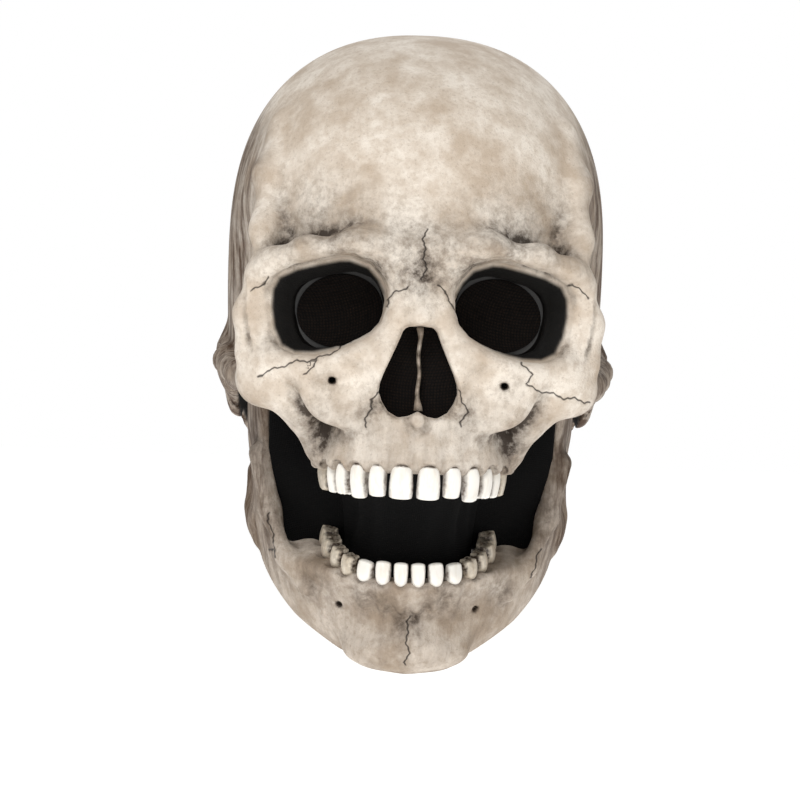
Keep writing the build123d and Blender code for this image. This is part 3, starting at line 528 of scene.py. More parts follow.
seam_y = 14.0
seam_lap = 3.0               # each casting runs this far past the seam, under or over the other
for name, keep, replaced in (("skull_face", y - seam_y - seam_lap, ("cranium_face", "upper_jaw")),
                             ("skull_back", seam_y - seam_lap - y, ("cranium_back",))):
    points, faces = skull.surface(keep)
    piece = mesh_object(name, points, faces)
    normals = vertex_normals(piece.data)
    gap, plain = crack_distance(points, cracks, -60)
    groove = 0.45 * np.exp(-(plain / 0.8) ** 2)[:, None] * normals
    piece.data.vertices.foreach_set("co", ((points - groove) / 1000).ravel().astype(np.float32))
    px, py, pz = np.abs(points[:, 0]), points[:, 1], points[:, 2]
    # dark wash and painted shade: darker in corners and under the dabs, less high on the sides
    dirt_and_shade = wash_and_shade_on(skull, points, normals, wash_and_shade_dabs)
    temple = step_up(px, 66, 84) * step_up(py, -86, -66) * 0.95 + 0.30 * step_up(-pz, 10, 34)
    dirt_and_shade = dirt_and_shade * (1 - 0.75 * step_up(px, 58, 72) * step_up(pz, 40, 60))
    cup = step_up(-outline_distance(px, pz, socket_outline), 0.0, 2.2) * (py < -62)
    cup = np.maximum(cup, step_up(-outline_distance(px, pz, nose_outline), 0.2, 1.4) * (py < -84))
    lining = np.clip(1.2 - skull.sampled(hollow, points), 0, 1) * (cup < 0.3)
    put(piece.data, "paint", dirt_and_shade, temple, cup)
    put(piece.data, "marks", gap, plain, lining)
    piece.data.materials.append(bone_paint)
    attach(piece, "cranium")
    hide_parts(*replaced)

# ======== lower jaw =======================================================================
# The second latex casting, a separate bone that swings on two rivets at the ears. It is shaped
# here with the mouth shut, and every point is then turned open about the pivots.

open_angle = math.radians(19.6)


def opened(points):
    """Points of the shut jaw turned about the pivots' axis to the rest pose."""
    c, s = math.cos(open_angle), math.sin(open_angle)
    turned = np.array(points, float)
    turned[..., 1] = points[..., 1] * c - points[..., 2] * s
    turned[..., 2] = points[..., 1] * s + points[..., 2] * c
    return turned


jaw = Clay(np.arange(0, 83, 0.95), graded(-114, 16, -113, -60, 0.95, 1.3),
           graded(-121, 13, -120, -60, 0.95, 1.3))
x, y, z = jaw.x, jaw.y, jaw.z
jaw_bottom, jaw_front, jaw_wall = -114.5, -105.5, 4.5
lower_gum_z = -69.5


def jaw_line(z):
    """Half width, depth and power of the jaw's plan curve at a height: it narrows to the chin, is
    drawn in under the lip and rounded below, and grows more pointed downwards."""
    wide = 78.5 - 8.0 * (z / jaw_bottom) ** 2
    depth = -jaw_front - 4.5 * np.exp(-((z + 86) / 9) ** 2) - 5 * np.exp(-((z - jaw_bottom) / 7) ** 2)
    return wide, depth, 1.8 - 0.27 * step_up(-z, 86, 112)


wide, depth, power = jaw_line(z)
ahead = (np.abs(x) / wide) ** power + (np.maximum(-y, 0) / depth) ** power
behind = (np.abs(x) / wide) ** 3 + (np.maximum(y, 0) / 44) ** 3
outer = jaw.even_out(np.where(y < 0, ahead ** (1 / power), behind ** (1 / 3)).astype(np.float32) * 60 - 60)
side_view = [(-115, -114.5), (-80, -114.5), (-56, -108.5), (-30, -93.5), (-12, -79), (0, -66), (6, -30),
             (10, 0), (6, 8), (-5, 9), (-12, 4), (-18, -6), (-27, -3), (-34, 5), (-40, -2), (-41, -40),
             (-47, -62), (-54, lower_gum_z), (-115, lower_gum_z)]
jaw.f = np.maximum(outer, -(outer + jaw_wall)).astype(np.float32)
profile = outline_distance(jaw.y[0], jaw.z[0], side_view)[None].astype(np.float32)
# thick rim that the lower teeth stand in
inner_rim = jaw.even_out(((jaw_plan(x, y, 30.5 + 0 * z, -94.0 + 0 * z, 2.3) - 1) * 35).astype(np.float32))
rim_field = np.maximum(np.maximum(outer + 1.0, -inner_rim), np.maximum(y + 50, np.abs(z + 78) - 8.5))
jaw.f = soft_min(jaw.f, rim_field.astype(np.float32), 3)
# outside of the rim: the bone falls away below the teeth on the sides
side_shelf = jaw.even_out(((jaw_plan(x, y, 44.0 + 0 * z, -106.5 + 0 * z, 2.3) - 1) * 44).astype(np.float32))
shelf_level = lower_gum_z + 0.5 - np.minimum(np.maximum(side_shelf, 0) * 0.55, 9) * step_up(-y, 46, 60)
jaw.f = soft_max(jaw.f, -np.maximum(shelf_level - z, y + 48), 3).astype(np.float32)
jaw.f = soft_max(jaw.f, profile, 3.5).astype(np.float32)

lower_row = (36.0, -101.0, (6.8, 7.4, 8.4, 8.6, 8.8, 13.2, 12.4))
lower_stations = arch_stations(*lower_row)
for n, ((sx, sy, turn), width) in enumerate(zip(lower_stations, lower_row[2])):
    out = np.array([math.sin(turn), -math.cos(turn)])
    root = np.array([sx, sy]) + out * 2.4
    jaw.rib([(root[0], root[1], -72), (root[0] * 0.98, root[1] + 1.0, -84 if n < 3 else -79)],
            [width * 0.30, width * 0.16], 3.5)
    lip = np.array([sx, sy]) + out * 4.4
    jaw.lump((lip[0], lip[1], lower_gum_z + 1.0), (width * 0.44, width * 0.44, 3.2), 1.2, away=True)
# chin, with its two corners and the hollow over it, and the crease down its middle
jaw.lump((0, -101, -104), (15, 6, 9), 10)
jaw.lump((18, -94, -107), (10, 7, 6), 11)
jaw.lump((20, -106, -91), (12, 5, 6), 7, away=True)
jaw.rib([(0.6, -109.5, -92), (0.2, -110.5, -106)], [1.6, 1.0], 4, away=True)
# oblique line, the angle's flare, roughness where the chewing muscle sits
jaw.rib([(72, -37, -34), (66, -46, -58), (57, -62, -76), (48, -76, -86)], [4.2, 4, 3.4, 2.2], 6)
jaw.lump((72, -9, -75), (5, 13, 10), 6)
jaw.lump((79, -16, -52), (4, 12, 15), 7, away=True)
jaw.rib([(74, 2, -58), (73, -8, -72), (70, -22, -84)], [2.4, 2.6, 2.2], 5)
jaw.rib([(33, -104, -88), (31, -86, -88)], [1.6, 1.3], 1.5, away=True)        # mental foramen
jaw.add(round_bar_x(9, 73.9, 78.9), 1.0, (66, -14, -14), (84, 14, 14))
jaw.cut(round_bar_x(10, 40, 73.9), 0.3, (52, -14, -14), (76, 14, 14))
jaw.cut(round_bar_x(10.5, 78.9, 99), 0.3, (76, -14, -14), (84, 14, 14))
jaw.cut(round_bar_x(4.1, 60, 99), 0.3, (60, -8, -8), (84, 8, 8))

points, faces = jaw.surface()
jaw_piece = mesh_object("jaw_bone", points, faces)
normals = vertex_normals(jaw_piece.data)
# dark patches, partly wash and partly painted shade, on the chin, below the teeth and along the jaw to its
# branch; corners darken too
jaw_wash_and_shade_dabs = [((0, -106, -90), 9, 0.45), ((24, -100, -82), 10, 0.35),
             ((44, -84, -80), 12, 0.35), ((64, -46, -66), 14, 0.4),
             ((72, -30, -30), 18, 0.4), ((14, -104, -76), 8, 0.3)]
dirt_and_shade = wash_and_shade_on(jaw, points, normals, jaw_wash_and_shade_dabs)
px, pz = np.abs(points[:, 0]), points[:, 2]
py = points[:, 1]
flank = 0.35 + 0.6 * step_up(px, 52, 76)
lined = np.clip(1.3 - np.abs(jaw.sampled(outer, points) + jaw_wall), 0, 1) * (pz < lower_gum_z - 9)
lined = np.maximum(lined, step_up(-jaw.sampled(inner_rim, points), -1.0, 0.4) * (py < -46))
jaw_cracks = [(1, [(0.8, -88), (-0.6, -94), (0.8, -100), (0.0, -107)]),
              (1, [(62, -70), (58, -78), (60, -84)]), (-1, [(66, -60), (62, -72), (64, -80)])]
gap, plain = crack_distance(points, jaw_cracks, -20)
put(jaw_piece.data, "paint", dirt_and_shade, flank, np.zeros(len(points)))
put(jaw_piece.data, "marks", gap, plain, lined)
jaw_piece.data.vertices.foreach_set("co", (opened(points) / 1000).ravel().astype(np.float32))
jaw_piece.data.materials.append(painted_bone("painted_jaw_latex", "#d9cdbf", "#ab9a87", "#6b5a4a", "#4c3828"))
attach(jaw_piece, "mandible")
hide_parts("mandible_shell")

# ======== teeth ===========================================================================
# Each tooth is cast in hard resin on its own root and glued into the rim. The front ones are
# tall and flat with an arched neck, the back ones have cusps and keep more stain.


def closed_tube(rings):
    """Quads between level rings of equal count, closed at both ends by fans to their middles."""
    count, around = rings.shape[:2]
    points = np.concatenate([rings.reshape(-1, 3), rings[:1].mean(1), rings[-1:].mean(1)])
    i, j = np.meshgrid(np.arange(count - 1), np.arange(around), indexing="ij")
    k = (j + 1) % around
    quads = np.stack([i * around + j, (i + 1) * around + j, (i + 1) * around + k, i * around + k], -1)
    j = np.arange(around)
    k = (j + 1) % around
    last = (count - 1) * around
    start = np.stack([np.full(around, count * around), j, k], -1)
    end = np.stack([np.full(around, count * around + 1), last + k, last + j], -1)
    return points, [quads.reshape(-1, 4), np.concatenate([start, end])]


def crown(width, neck, height, edge, cusps):
    """Rings from the neck, 2.4 above the gum, to the cutting edge. Seen from the front the neck is
    an arch; the depth tapers to the edge; cusps lift the last rings by a cosine round the ring."""
    v = np.concatenate([np.linspace(0.0, 0.1, 6)[:-1], np.linspace(0.1, 0.93, 16)[:-1],
                        np.linspace(0.93, 1.0, 6)])[:, None]
    t = np.linspace(0, 2 * np.pi, 40, endpoint=False)[None]
    neck_part = np.clip(1 - v / 0.36, 0, 1)
    arch = (1 - neck_part ** 2.4) ** (1 / 2.4)
    across = width * (0.30 + 0.62 * arch + 0.08 * step_up(v, 0.2, 0.7))
    across = across * (1 - 0.05 * step_up(v, 0.75, 1)) * (1 - 0.35 * np.clip((v - 0.955) / 0.045, 0, 1) ** 2)
    deep = edge + (neck - edge) * (1 - step_up(v, 0.05, 0.98)) * (0.72 + 0.28 * arch)
    deep = deep * (1 - 0.55 * np.clip((v - 0.94) / 0.06, 0, 1) ** 2)
    power = 2.1 + 0.9 * v
    r = (np.abs(np.cos(t)) / (across / 2)) ** power + (np.abs(np.sin(t)) / (deep / 2)) ** power
    r = r ** (-1 / power)
    px, py = r * np.cos(t), r * np.sin(t)
    lean = -0.05 * neck - 0.9 * np.sin(np.pi * np.clip(v, 0, 1)) * (py < 0)
    pz = 2.4 - (height + 2.4) * v + cusps * np.cos(2 * t) ** 2 * step_up(v, 0.8, 0.97)
    pz = pz + 0.5 * (px / (width / 2)) ** 2 * step_up(v, 0.85, 1) * (cusps == 0)
    return np.stack([px, py + lean, pz + 0 * t], -1)


def resin(name, pale, warm, dark):
    """Cast polyester resin, glossy and nearly white, darkened with painted shade by the gum and between the
    teeth, and rubbed with brown that stays on the back teeth and in their cusps."""
    material, tree, shader = new_material(name, 0.32)
    place = add(tree, "TexCoord").outputs["Object"]
    stain = add(tree, "Attribute", attribute_name="stain").outputs["Fac"]
    tall = add(tree, "Mapping", {"Vector": place, "Scale": (1, 1, 0.25)}).outputs["Vector"]
    runs = add(tree, "TexNoise", {"Vector": tall, "Scale": 1 / 0.0028, "Detail": 4, "Roughness": 0.6})
    spots = add(tree, "TexNoise", {"Vector": place, "Scale": 1 / 0.0016, "Detail": 3, "Roughness": 0.6})
    run = remap(tree, runs.outputs["Fac"], 0.48, 0.75, 0, 0.7)
    colour = mix(tree, run.outputs[0], linear(pale), linear(warm))
    broken = remap(tree, spots.outputs["Fac"], 0.35, 0.65, 0.6, 1.3)
    rub_and_shade = add(tree, "Math", {0: stain, 1: broken.outputs[0]}, operation="MULTIPLY", use_clamp=True)
    colour = mix(tree, rub_and_shade.outputs[0], colour.outputs[0], linear(dark))
    tree.links.new(colour.outputs[0], shader.inputs["Base Color"])
    bump = add(tree, "Bump", {"Height": runs.outputs["Fac"], "Strength": 0.25, "Distance": 0.0004})
    tree.links.new(bump.outputs[0], shader.inputs["Normal"])
    return material


front_resin = resin("front_tooth_resin", "#f0ece4", "#dcd2c1", "#4a3626")
molar_resin = resin("molar_resin", "#e6dac6", "#b9a184", "#35261a")
names = ("central_incisors", "lateral_incisors", "canines", "first_premolars", "second_premolars",
         "first_molars", "second_molars")
# depth at the neck, depth at the edge, crown length, cusp height
upper_shapes = [(7.6, 2.4, 12.9, 0), (7.0, 2.2, 12.1, 0), (8.2, 3.0, 13.4, 0), (8.6, 6.0, 12.2, 0.8),
                (8.6, 6.2, 11.8, 0.8), (9.4, 7.6, 11.4, 1.0), (9.2, 7.2, 10.7, 1.0)]
lower_shapes = [(6.4, 2.2, 8.8, 0), (6.6, 2.2, 8.7, 0), (7.6, 2.8, 7.2, 0), (8.2, 5.6, 7.2, 0.7),
                (8.4, 6.2, 7.2, 0.7), (9.4, 7.6, 7.8, 0.9), (9.2, 7.2, 8.0, 0.9)]
rng = np.random.default_rng(7)
for row, stations, widths, shapes, flip, gum in (
        ("upper", upper_stations, upper_row[2], upper_shapes, 1, -48.6),
        ("lower", lower_stations, lower_row[2], lower_shapes, -1, lower_gum_z + 0.1)):
    for n, ((sx, sy, turn), width, (neck, edge, height, cusps)) in enumerate(zip(stations, widths, shapes)):
        found_points, found_faces, tooth_stain_and_shade, start = [], [], [], 0
        for side in (-1, 1):
            grow, tip = rng.uniform(0.97, 1.0), rng.uniform(-0.035, 0.035)
            rings = crown(width * grow, neck, height * rng.uniform(0.97, 1.0), edge, cusps)
            level = np.broadcast_to(np.linspace(0, 1, rings.shape[0])[:, None], rings.shape[:2])
            flank = np.abs(rings[..., 0]) / (width / 2)
            # painted shade at the neck under the gum's edge and down both sides where the teeth meet; the
            # back teeth add brown stain, more at the cusps
            stain = 0.9 * (1 - step_up(level, 0.03, 0.15)) + 0.75 * step_up(flank, 0.74, 1.0)
            brown = (n > 4) if row == "upper" else (n > 2)
            stain = stain + (0.30 + 0.5 * step_up(level, 0.9, 1) if brown else 0.0)
            px = rings[..., 0] * math.cos(tip) - rings[..., 2] * math.sin(tip)
            pz = (rings[..., 0] * math.sin(tip) + rings[..., 2] * math.cos(tip)) * flip + gum
            wx = sx + px * math.cos(turn) - rings[..., 1] * math.sin(turn)
            wy = sy + px * math.sin(turn) + rings[..., 1] * math.cos(turn)
            placed = np.stack([side * wx, wy, pz], -1)
            points, faces = closed_tube(placed if side * flip > 0 else placed[:, ::-1])
            marks = stain if side * flip > 0 else stain[:, ::-1]
            tooth_stain_and_shade.append(np.concatenate([marks.ravel(), marks[:1].mean(1), marks[-1:].mean(1)]))
            found_points.append(points)
            found_faces.append([f + start for f in faces])
            start += len(points)
        points = np.concatenate(found_points)
        if row == "lower":
            points = opened(points)
        faces = [np.concatenate([f[k] for f in found_faces]) for k in range(2)]
        piece = mesh_object(f"{row}_{names[n]}_cast", points, faces)
        put(piece.data, "stain", np.clip(np.concatenate(tooth_stain_and_shade), 0, 1))
        piece.data.materials.append(molar_resin if brown else front_resin)
        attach(piece, "cranium" if row == "upper" else "mandible")
        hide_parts(f"{row}_{names[n]}")

# ======== screens =========================================================================
# Black knitted mesh, glued flat behind each eye socket and behind the nose, so that the wearer
# sees out and nobody sees in. A moulded ring clamps each eye screen.


def grid_quads(rows, columns):
    """The quads between neighbouring points of a grid, row by row."""
    i, j = np.meshgrid(np.arange(rows - 1), np.arange(columns - 1), indexing="ij")
    return np.stack([i * columns + j, (i + 1) * columns + j, (i + 1) * columns + j + 1,
                     i * columns + j + 1], -1).reshape(-1, 4)


def sheet_mesh(name, grid, thickness):
    """A cloth from a grid of points, with its UV in millimetres along both ways, and given its
    thickness by Solidify."""
    rows, columns = grid.shape[:2]
    quads = grid_quads(rows, columns)
    piece = mesh_object(name, grid.reshape(-1, 3), quads)
    down = np.concatenate([np.zeros((1, columns)), np.cumsum(
        np.linalg.norm(np.diff(grid, axis=0), axis=2), axis=0)])
    along = np.concatenate([np.zeros((rows, 1)), np.cumsum(
        np.linalg.norm(np.diff(grid, axis=1), axis=2), axis=1)], axis=1)
    layer = piece.data.uv_layers.new(name="cut")
    uv = np.stack([along.ravel(), down.ravel()], -1)[quads.ravel()]
    layer.data.foreach_set("uv", uv.ravel().astype(np.float32))
    solid = piece.modifiers.new("thickness", "SOLIDIFY")
    solid.thickness = thickness / 1000
    solid.offset = 0
    return piece


def woven(name, pale, dark, across, along, roughness=0.85, lift=0.5, sheen=0.25):
    """Woven or knitted cloth: two sets of threads at right angles at a real spacing in millimetres,
    shaded where they dip, with a slubby tone and a little sheen."""
    material, tree, shader = new_material(name, roughness)
    shader.inputs["Sheen Weight"].default_value = sheen
    shader.inputs["Sheen Roughness"].default_value = 0.5
    shader.inputs["Specular IOR Level"].default_value = 0.2
    cut = add(tree, "UVMap", uv_map="cut").outputs["UV"]
    u, v, _ = add(tree, "SeparateXYZ", {"Vector": cut}).outputs
    threads = []
    for way, spacing in ((u, across), (v, along)):
        turn = add(tree, "Math", {0: way, 1: math.pi / spacing}, operation="MULTIPLY")
        wave = add(tree, "Math", {0: turn.outputs[0]}, operation="SINE")
        threads.append(add(tree, "Math", {0: wave.outputs[0]}, operation="ABSOLUTE").outputs[0])
    height = add(tree, "Math", {0: threads[0], 1: threads[1]}, operation="MULTIPLY")
    slub = add(tree, "TexNoise", {"Vector": cut, "Scale": 0.35, "Detail": 4})
    tone = add(tree, "Math", {0: height.outputs[0], 1: slub.outputs["Fac"]}, operation="MULTIPLY")
    tone = remap(tree, tone.outputs[0], 0.05, 0.55)
    colour = mix(tree, tone.outputs[0], linear(dark), linear(pale))
    tree.links.new(colour.outputs[0], shader.inputs["Base Color"])
    bump = add(tree, "Bump", {"Height": height.outputs[0], "Strength": lift, "Distance": 0.0005})
    tree.links.new(bump.outputs[0], shader.inputs["Normal"])
    return material


def soft(piece, material, body, node):
    """Gives a piece its material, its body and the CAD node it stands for."""
    piece.data.materials.append(material)
    if isinstance(body, str):
        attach(piece, body)
    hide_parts(node)


# knitted mesh, its holes drawn 1.4 mm apart so that they show
screen_mesh = woven("black_knit_mesh", "#1a120d", "#030202", 1.4, 1.4, 0.95, 0.4, 0)
u, v = np.meshgrid(np.linspace(-1, 1, 41), np.linspace(-1, 1, 33), indexing="xy")
disc_u, disc_v = u * np.sqrt(1 - v * v / 2), v * np.sqrt(1 - u * u / 2)
tilt = math.radians(-13)
for side, side_name in ((-1, "right"), (1, "left")):
    px = disc_u * 19.6 * math.cos(tilt) - disc_v * 16.6 * math.sin(tilt)
    pz = disc_u * 19.6 * math.sin(tilt) + disc_v * 16.6 * math.cos(tilt)
    slack = 0.18 * np.cos(disc_u * 9) * np.cos(disc_v * 7)
    grid = np.stack([side * (36 + px), -75.5 + slack, 22.5 + pz], -1)
    screen = sheet_mesh(f"eye_mesh_{side_name}", grid, 0.5)
    soft(screen, screen_mesh, "cranium", f"eye_screen_{side_name}")
rows = np.linspace(0, 1, 41)[:, None]
half = 8.5 + 11 * step_up(rows, 0.05, 0.70) - 9 * step_up(rows, 0.86, 1.05)
across = np.linspace(-1, 1, 33)[None]
grid = np.stack([half * across, -95.4 + 0.15 * np.cos(9 * across) * np.cos(11 * rows),
                 21.5 - 49 * rows + 0 * across], -1)
screen = sheet_mesh("nose_mesh", grid, 0.5)
soft(screen, screen_mesh, "cranium", "nose_screen")

# ======== mouth cloth =====================================================================
# One piece of black stretch knit glued inside both tooth rims, and one behind each cheek gap.
# It hides the wearer's mouth, hangs in shallow folds and stretches as the jaw opens.

stretch_knit = woven("black_stretch_knit", "#060505", "#010101", 0.9, 0.9, 1.0, 0.4, 0)


def plan_point(s, wide, front):
    """Points of a tooth arch's plan curve: s from -1 to 1 runs from one end round to the other."""
    turn = s * math.pi / 2
    r = ((np.abs(np.sin(turn)) / wide) ** 2.3 + (np.cos(turn) / (tooth_middle - front)) ** 2.3) ** (-1 / 2.3)
    return r * np.sin(turn), tooth_middle - r * np.cos(turn)


s = np.linspace(-1, 1, 97)[None]
t = np.linspace(0, 1, 41)[:, None]
high_x, high_y = plan_point(s, 33.2, -98.2)
low_x, low_y = plan_point(s, 29.5, -93.4)
high = np.stack([high_x, high_y, np.full_like(high_x, -43.5)], -1)
low = opened(np.stack([low_x, low_y, np.full_like(low_x, -72.5)], -1))
fold = np.sin(t * math.pi) * (1.6 * (0.5 + 0.5 * np.cos(s * 19 + 2.2 * t)) + 7) * (1 - s ** 4)
grid = high * (1 - t[..., None]) + low * t[..., None]
middle = np.array([0, -45, -70.0])
inward = middle - grid
inward[..., 2] = 0
inward /= np.maximum(np.linalg.norm(inward, axis=2, keepdims=True), 1)
grid = grid + inward * fold[..., None]
mouth = sheet_mesh("mouth_cloth", grid, 0.7)
soft(mouth, stretch_knit, None, "mouth_screen")
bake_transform(mouth)
for side in (-1, 1):
    # from the back edge of the mouth cloth out to the inside of the jaw's upright branch
    inner = np.array([[30.0, -44, 2], [29, -43, -24], [31.5, -52, -45], [30.4, -41.8, -64], [28.8, -28, -86]])
    outer_edge = np.array([[69.5, -44, 3], [67, -38, -16], [66.4, -25, -50], [63.5, -21, -68],
                           [58, -26, -86]])
    at = np.linspace(0, 4, 41)
    a = np.stack([np.interp(at, np.arange(5), inner[:, k]) for k in range(3)], -1)[:, None]
    b = np.stack([np.interp(at, np.arange(5), outer_edge[:, k]) for k in range(3)], -1)[:, None]
    w = np.linspace(0, 1, 33)[None, :, None]
    grid = a * (1 - w) + b * w
    grid[..., 1] += 1.2 * np.sin(w[..., 0] * math.pi) * (1 + np.cos(at[:, None] * 2.5 + w[..., 0] * 5))
    grid[..., 0] *= side
    cheek = sheet_mesh("cheek_cloth_left" if side > 0 else "cheek_cloth_right", grid, 0.7)
    cheek.data.materials.append(stretch_knit)
    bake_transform(cheek)
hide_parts("cheek_screens")
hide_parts("cheek_screens")

# ======== jaw elastics ====================================================================
# A flat braided elastic each side, from the post in the skull down to the post on the jaw. It
# pulls the jaw shut as the wearer's mouth closes.

braid = woven("black_braided_elastic", "#2b2a2c", "#0c0c0d", 2.0, 1.1, 0.7)
for side, side_name in ((-1, "right"), (1, "left")):
    node = f"jaw_elastic_{side_name}"
    low_end = opened(np.array([side * 64.0, -30, -38]))
    high_end = np.array([side * 64.0, -35, 35])
    lean = (low_end - high_end) / np.linalg.norm(low_end - high_end)
    w = np.linspace(-7, 7, 9)[None, :, None]
    t = np.linspace(-7, np.linalg.norm(low_end - high_end) + 7, 61)[:, None, None]
    flat_way = np.array([0, -lean[2], lean[1]])
    grid = high_end + t * lean + w * flat_way * (1 - 0.14 * np.sin(np.clip(t / 80, 0, 1) * math.pi))
    grid[..., 0] = side * 63.7 + 0 * grid[..., 0]
    strap = sheet_mesh(f"elastic_{side_name}", grid, 1.3)
    soft(strap, braid, None, node)
    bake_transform(strap)

# ======== chin strap and cup ==============================================================
# Nylon webbing round the inside of the jaw, held by a stud each side, with a foam cup glued in
# it: the wearer's chin sits in the cup and carries the mask's jaw along.


def inside_jaw(turn, z, inset):
    """The point on the jaw's plan curve at a height, drawn in by inset, at a turn from the front."""
    wide, depth, power = jaw_line(z)
    wide, depth = wide - inset, depth - inset
    r = ((np.abs(np.sin(turn)) / wide) ** power + (np.abs(np.cos(turn)) / depth) ** power) ** (-1 / power)
    return np.stack([r * np.sin(turn), -r * np.cos(turn), z + 0 * turn], -1)


turn = np.linspace(-1.02, 1.02, 121)[None]
level = np.linspace(-83.5, -102.0, 15)[:, None] + 9.0 * np.abs(turn) ** 4
grid = opened(inside_jaw(turn + 0 * level, level, jaw_wall + 1.3))
strap = sheet_mesh("chin_webbing", grid, 1.5)
webbing = woven("black_nylon_webbing", "#27272a", "#08080a", 1.6, 2.4, 0.6, 0.7)
soft(strap, webbing, "mandible", "chin_strap")


def foam(name, pale, dark):
    """Open-cell polyurethane foam: matt, with pores about 0.6 mm, drawn 1.1 mm so that they show, and
    darkened in their pits with painted shade.
    """
    material, tree, shader = new_material(name, 0.95)
    shader.inputs["Specular IOR Level"].default_value = 0.15
    place = add(tree, "TexCoord").outputs["Object"]
    cells = add(tree, "TexVoronoi", {"Vector": place, "Scale": 1 / 0.0011})
    wide = add(tree, "TexNoise", {"Vector": place, "Scale": 1 / 0.012, "Detail": 4})
    # pores darker towards their middles, where the bump sinks: painted shade; the wide noise gives a cloudy
    # tone
    tone = add(tree, "Math", {0: cells.outputs["Distance"], 1: wide.outputs["Fac"]}, operation="ADD")
    tone = remap(tree, tone.outputs[0], 0.35, 1.15)
    colour = mix(tree, tone.outputs[0], linear(dark), linear(pale))
    tree.links.new(colour.outputs[0], shader.inputs["Base Color"])
    bump = add(tree, "Bump", {"Height": cells.outputs["Distance"], "Strength": 0.5, "Distance": 0.0006})
    tree.links.new(bump.outputs[0], shader.inputs["Normal"])
    return material


def pillow(name, face, inward, thickness):
    """A pad: face is a grid of points on what it is glued to, inward the way it stands out. Its free
    side rises as a crowned superellipse over the grid and meets the glued side round the edge."""
    rows, columns = face.shape[:2]
    u = np.linspace(-1, 1, columns)[None]
    v = np.linspace(-1, 1, rows)[:, None]
    rise = ((1 - np.abs(u) ** 6) * (1 - np.abs(v) ** 6)) ** 0.4
    crown_up = 0.84 + 0.16 * (1 - u * u) * (1 - v * v)
    glued = face + inward * (thickness * 0.06 * (1 - rise))[..., None]
    free = face + inward * (thickness * (0.06 + 0.94 * rise * crown_up))[..., None]
    quads = grid_quads(rows, columns)
    count = rows * columns
    ring = np.concatenate([np.arange(columns), columns * np.arange(1, rows) + columns - 1,
                           count - 1 - np.arange(1, columns), columns * np.arange(rows - 2, 0, -1)])
    after = np.roll(ring, -1)
    edges = np.stack([ring, after, after + count, ring + count], -1)
    points = np.concatenate([glued.reshape(-1, 3), free.reshape(-1, 3)])
    piece = mesh_object(name, points, np.concatenate([quads[:, ::-1], quads + count, edges]))
    bpy.context.view_layer.objects.active = piece
    piece.select_set(True)
    bpy.ops.object.mode_set(mode="EDIT")
    bpy.ops.mesh.select_all(action="SELECT")
    bpy.ops.mesh.normals_make_consistent(inside=False)
    bpy.ops.object.mode_set(mode="OBJECT")
    piece.select_set(False)
    return piece


grey_foam = foam("grey_foam", "#77777a", "#3a3a3d")
turn = np.linspace(-0.36, 0.36, 61)[None]
level = np.linspace(-85.0, -110.5, 31)[:, None]
face = inside_jaw(turn + 0 * level, level + 0 * turn, jaw_wall + 2.6)
deeper = inside_jaw(turn + 0 * level, level + 0 * turn, jaw_wall + 3.6)
way = opened(deeper) - opened(face)
way /= np.linalg.norm(way, axis=2, keepdims=True)
cup_pad = pillow("chin_foam_cup", opened(face), way, 8.0)
soft(cup_pad, grey_foam, "mandible", "chin_cup")

# ======== head pads =======================================================================
# Five pieces of grey foam glued round the inside of the skull, which hold it off the wearer's
# head and keep it from turning.


def on_vault(azimuth, rise, inset):
    """Where a ray from the vault's middle meets its skin drawn in by inset, found by halving."""
    ray = np.stack([np.sin(azimuth) * np.cos(rise), -np.cos(azimuth) * np.cos(rise),
                    np.sin(rise) + 0 * azimuth], -1)
    near, far = np.zeros(ray.shape[:2]), np.full(ray.shape[:2], 200.0)
    for _ in range(34):
        half = (near + far) / 2
        p = ray * half[..., None] + np.array([0, widest[0], widest[1]])
        within = vault_level(p[..., 0], p[..., 1], p[..., 2], inset) < 1
        near, far = np.where(within, half, near), np.where(within, far, half)
    return ray * near[..., None] + np.array([0, widest[0], widest[1]])


pads = {"forehead_pad": (0, 15, 17, 6.5), "rear_pad": (180, 6, 18, 9), "side_pad_left": (90, -1, 14, 9),
        "side_pad_right": (-90, -1, 14, 9)}
for node, (azimuth, rise, half_turn, half_rise) in pads.items():
    a = np.radians(azimuth + np.linspace(-half_turn, half_turn, 49))[None]
    b = np.radians(rise + np.linspace(-half_rise, half_rise, 29))[:, None]
    face = on_vault(a + 0 * b, b + 0 * a, skin + 1.0)
    way = on_vault(a + 0 * b, b + 0 * a, skin + 6.0) - face
    way /= np.linalg.norm(way, axis=2, keepdims=True)
    pad = pillow(node + "_foam", face, way, 10.4)
    soft(pad, grey_foam, "cranium", node)
# the crown's pad is laid out square, over the top
a = np.linspace(-0.27, 0.27, 41)[None]
b = np.linspace(-0.36, 0.30, 45)[:, None]
azimuth, lean = np.arctan2(np.tan(a) + 0 * b, -(np.tan(b) + 0 * a)), np.hypot(np.tan(a), np.tan(b))
face = on_vault(azimuth, np.arctan2(1.0, lean), skin + 1.0)
way = on_vault(azimuth, np.arctan2(1.0, lean), skin + 6.0) - face
way /= np.linalg.norm(way, axis=2, keepdims=True)
pad = pillow("crown_pad_foam", face, way, 10.4)
soft(pad, grey_foam, "cranium", "crown_pad")

# ======== nape strap ======================================================================
# The skull is slit at the nape so that it goes over the head. A short webbing strap, sewn to one
# side, laps over the slit and holds by hook and loop.


